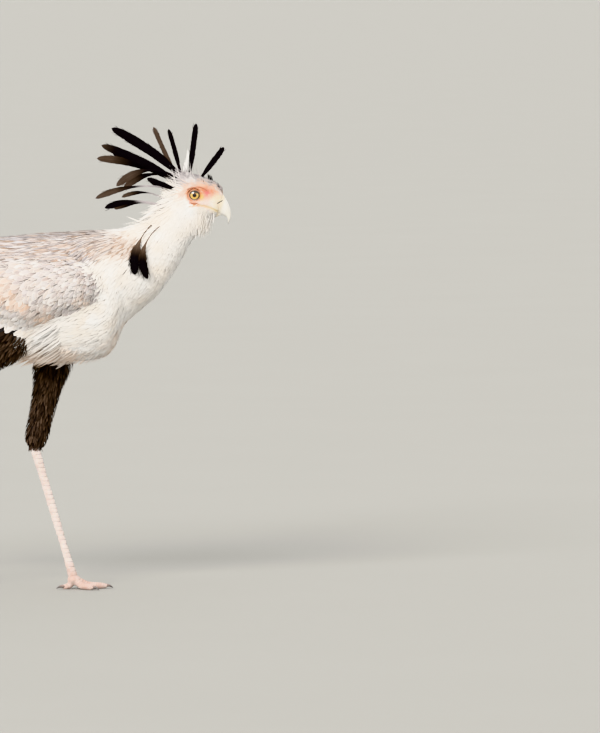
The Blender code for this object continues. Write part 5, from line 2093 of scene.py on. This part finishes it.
def eye_tint(points, reach):
    """Black pupil, golden iris with rays that darken to its rim and a painted shadow of the brow over its
    top, black outside.
    """
    pupil, iris = size("pupil"), size("iris")
    high = points[:, 2] - EYE_CENTRE[2]
    angle = np.arctan2(high, points[:, 0] - EYE_CENTRE[0])
    ray = np.sin(37.0 * angle + 3.0 * np.sin(11.0 * angle)) * 0.5 + 0.5
    tint = painted(
        hue("iris"),
        ("tan", 0.35 * ray * ramp(reach, pupil, iris)),
        ("face_yellow", 0.6 * hump(reach, 0.5 * (pupil + iris), 0.0016)),
        # painted shadow of the brow over the top of the iris
        ("black", 0.95 * ramp(high, 0.0016, 0.0058)),
        ("fold", 0.7 * hump(reach, pupil, 0.0005)),
        ("black", ramp(reach, iris - 0.0009, iris + 0.0002)),
    )
    return blend(tint, hue("black") * 0.3, ramp(reach, pupil + 0.0002, pupil - 0.0003))


def ball_rings():
    """Rings of a unit ball round the Y axis without its poles, from sines and cosines of tilt and turn."""
    tilt = np.linspace(0.0, math.pi, EYE_ROWS + 2)[1:-1, None]
    turn = np.linspace(0.0, 2.0 * math.pi, EYE_SIDES, endpoint=False)[None, :]
    across = np.cos(tilt) * np.ones_like(turn)
    return np.stack((np.sin(tilt) * np.cos(turn), across, np.sin(tilt) * np.sin(turn)), axis=-1)


class BIRD_OT_eyes(bpy.types.Operator):
    """Both eyes: a flattened ball with pupil and iris"""

    bl_idname = "bird.eyes"
    bl_label = "Eyes"

    def execute(self, context):
        wet = eye_material()
        for side, sign in SIDES.items():
            mirror = np.array((1.0, sign, 1.0))
            middle = EYE_CENTRE * mirror
            out = np.array((0.0, EYE_HALF[1] * sign, 0.0))
            rings = middle + ball_rings() * EYE_HALF * mirror
            points, triangles = closed_loft(rings, middle + out, middle - out)
            off = (points - middle) * mirror
            reach = np.where(off[:, 1] < 0, 1.0, np.hypot(off[:, 0], off[:, 2]))
            mesh = new_mesh(f"eye_{side}", points, triangles)
            set_tint(mesh, eye_tint(points, reach))
            show(f"eyeball_{side}", mesh, wet, (f"eye_{side}",))
        return {"FINISHED"}


class BIRD_OT_claws(bpy.types.Operator):
    """Blunt curved claws"""

    bl_idname = "bird.claws"
    bl_label = "Claws"

    def execute(self, context):
        horn = horn_material("claw_horn", 0.42, (60.0, 60.0, 300.0))
        for toe, side in itertools.product(TOES, SIDES):
            node = f"claw_{toe}_{side}"
            points, triangles = node_arrays(node)
            mesh = new_mesh(node, points, triangles)
            root = np.linalg.norm(points - points[points[:, 2].argmax()], axis=1)
            set_tint(mesh, painted(hue("claw"), ("leg_shade", 0.5 * ramp(root, 0.010, 0.002))))
            piece = show(f"claw_horn_{toe}_{side}", mesh, horn, (node,))
            finer = piece.modifiers.new("rounding", "SUBSURF")
            finer.levels = finer.render_levels = 2
        return {"FINISHED"}


# Lashes: angle round the eye from straight ahead, at the first and the last, in degrees.
LASH_ARC = (35.0, 172.0)
LASH_COUNT = 26
LASH_WIDTH = 0.00018
LASH_LENGTH = 0.0034  # of the shortest, at the front; the longest are twice as long
LASH_ROOT = 0.0012  # how far outside the gap between the lids they stand
LASH_BACK = np.array((-0.25, 0.0, 0.05))  # how their lower halves lean
LASH_CURL = np.array((-0.45, 0.0, 0.25))  # how their upper halves bend


def add_lashes(coat, surface, sign, rng):
    """Adds one eye's lashes, which stand out from the lid and curl back and up."""
    outline, shares = outline_rings("wisp")
    turn = np.radians(np.linspace(*LASH_ARC, LASH_COUNT)) + rng.normal(0.0, 0.02, LASH_COUNT)
    ray = np.stack((np.cos(turn), np.zeros(LASH_COUNT), np.sin(turn)), axis=1)
    start = EYE_CENTRE * (1.0, sign, 1.0) + ray * (size("eye_opening") + LASH_ROOT)
    root, normals = surface.settle(start)
    length = LASH_LENGTH * (1.0 + ramp(turn, 0.9, 2.6)) * rng.uniform(0.8, 1.15, LASH_COUNT)
    out = np.array((0.0, sign, 0.0))
    half = root + unit(0.55 * ray + 0.75 * out + LASH_BACK) * (length * 0.5)[:, None]
    tip = half + unit(ray + 0.25 * out + LASH_CURL) * (length * 0.5)[:, None]
    line = bowed((root - normals * ROOT_SINK, half, tip), shares)
    widths = np.tile(LASH_WIDTH * outline, (LASH_COUNT, 1))
    tint = np.tile(hue("black"), (LASH_COUNT, len(shares), 1))
    patch = np.stack((0.25 + 0.5 * (sign > 0) + 0.1 * np.cos(turn), 0.5 + 0.2 * np.sin(turn)), axis=1)
    coat.add(line, normals[:, None], widths, shares, ROOF, 1.0, tint, np.zeros(LASH_COUNT), patch)


class BIRD_OT_lashes(bpy.types.Operator):
    """Black lashes of the upper lids"""

    bl_idname = "bird.lashes"
    bl_label = "Lashes"

    def execute(self, context):
        surface, _ = skin_surface()
        rng = np.random.default_rng(400)
        coat = Coat()
        for sign in SIDES.values():
            add_lashes(coat, surface, sign, rng)
        coat.build("lashes", vane_material("dark_feather"))
        return {"FINISHED"}


# ---- stage ----

CAMERA_TARGET = (0.7686, 0.0, 0.474)
CAMERA_DISTANCE = 12.0
CAMERA_ELEVATION = math.radians(4.0)
FLOOR_REACH = 900.0
FLOOR_DROP = 0.0003
KEY_TURN = (math.radians(58.0), 0.0, math.radians(-28.0))
KEY_COLOUR = (1.0, 0.970, 0.935)
KEY_SOFTNESS = math.radians(28.0)
FILL_COLOUR = (1.0, 0.99, 0.97)


class BIRD_OT_stage(bpy.types.Operator):
    """Plain floor, soft sun-like light, pale surroundings and the camera"""

    bl_idname = "bird.stage"
    bl_label = "Stage"

    def execute(self, context):
        settings = context.scene.bird_stage
        ends = (-FLOOR_REACH, FLOOR_REACH)
        corners = [(x, y, -FLOOR_DROP) for x, y in itertools.product(ends, ends)]
        mesh = new_mesh("floor", corners, ((0, 2, 3), (0, 3, 1)))
        mesh.materials.append(floor_material())
        floor = placed("floor", mesh)
        key = bpy.data.lights.new("key", "SUN")
        key.energy = settings.key_strength
        key.color = KEY_COLOUR
        key.angle = KEY_SOFTNESS
        placed("key", key).rotation_euler = KEY_TURN
        world = bpy.data.worlds.new("surroundings")
        world.use_nodes = True
        sky = world.node_tree.nodes["Background"]
        sky.inputs["Color"].default_value = (*FILL_COLOUR, 1.0)
        sky.inputs["Strength"].default_value = settings.fill_strength
        context.scene.world = world
        context.scene.view_settings.view_transform = "Khronos PBR Neutral"
        lens = bpy.data.cameras.new("camera")
        lens.lens = settings.lens
        lens.clip_end = 4.0 * FLOOR_REACH
        camera = placed("camera", lens)
        rise = CAMERA_DISTANCE * math.sin(CAMERA_ELEVATION)
        back = CAMERA_DISTANCE * math.cos(CAMERA_ELEVATION)
        camera.location = np.array(CAMERA_TARGET) + (0.0, -back, rise)
        camera.rotation_euler = (math.pi / 2.0 - CAMERA_ELEVATION, 0.0, 0.0)
        context.scene.camera = camera
        return {"FINISHED"}


# ---- add-on ----

OPERATORS = (
    BIRD_OT_skin, BIRD_OT_trunk_coat, BIRD_OT_neck_coat, BIRD_OT_head_coat, BIRD_OT_wing_coat,
    BIRD_OT_thigh_coat, BIRD_OT_flight_feathers, BIRD_OT_tail, BIRD_OT_crest, BIRD_OT_bill, BIRD_OT_eyes,
    BIRD_OT_claws, BIRD_OT_lashes, BIRD_OT_stage,
)
SETTINGS = {"bird_colours": BirdColours, "bird_sizes": BirdSizes, "bird_stage": BirdStage}


class BIRD_PT_panel(bpy.types.Panel):
    """Builds the bird piece by piece"""

    bl_label = "Secretary bird"
    bl_idname = "BIRD_PT_panel"
    bl_space_type = "VIEW_3D"
    bl_region_type = "UI"
    bl_category = "Bird"

    def draw(self, context):
        for name, group in SETTINGS.items():
            box = self.layout.box()
            for setting in group.__annotations__:
                box.prop(getattr(context.scene, name), setting)
        for operator in OPERATORS:
            self.layout.operator(operator.bl_idname)


CLASSES = (*SETTINGS.values(), *OPERATORS, BIRD_PT_panel)


def register():
    """Makes the settings, the operators and the panel known to Blender."""
    for group in CLASSES:
        bpy.utils.register_class(group)
    for name, group in SETTINGS.items():
        setattr(bpy.types.Scene, name, PointerProperty(type=group))


def unregister():
    """Takes them away again."""
    for name in SETTINGS:
        delattr(bpy.types.Scene, name)
    for group in reversed(CLASSES):
        bpy.utils.unregister_class(group)


def main():
    """Builds the bird, one operator after another."""
    register()
    for operator in OPERATORS:
        section, name = operator.bl_idname.split(".")
        getattr(getattr(bpy.ops, section), name)()


if __name__ == "__main__":
    main()
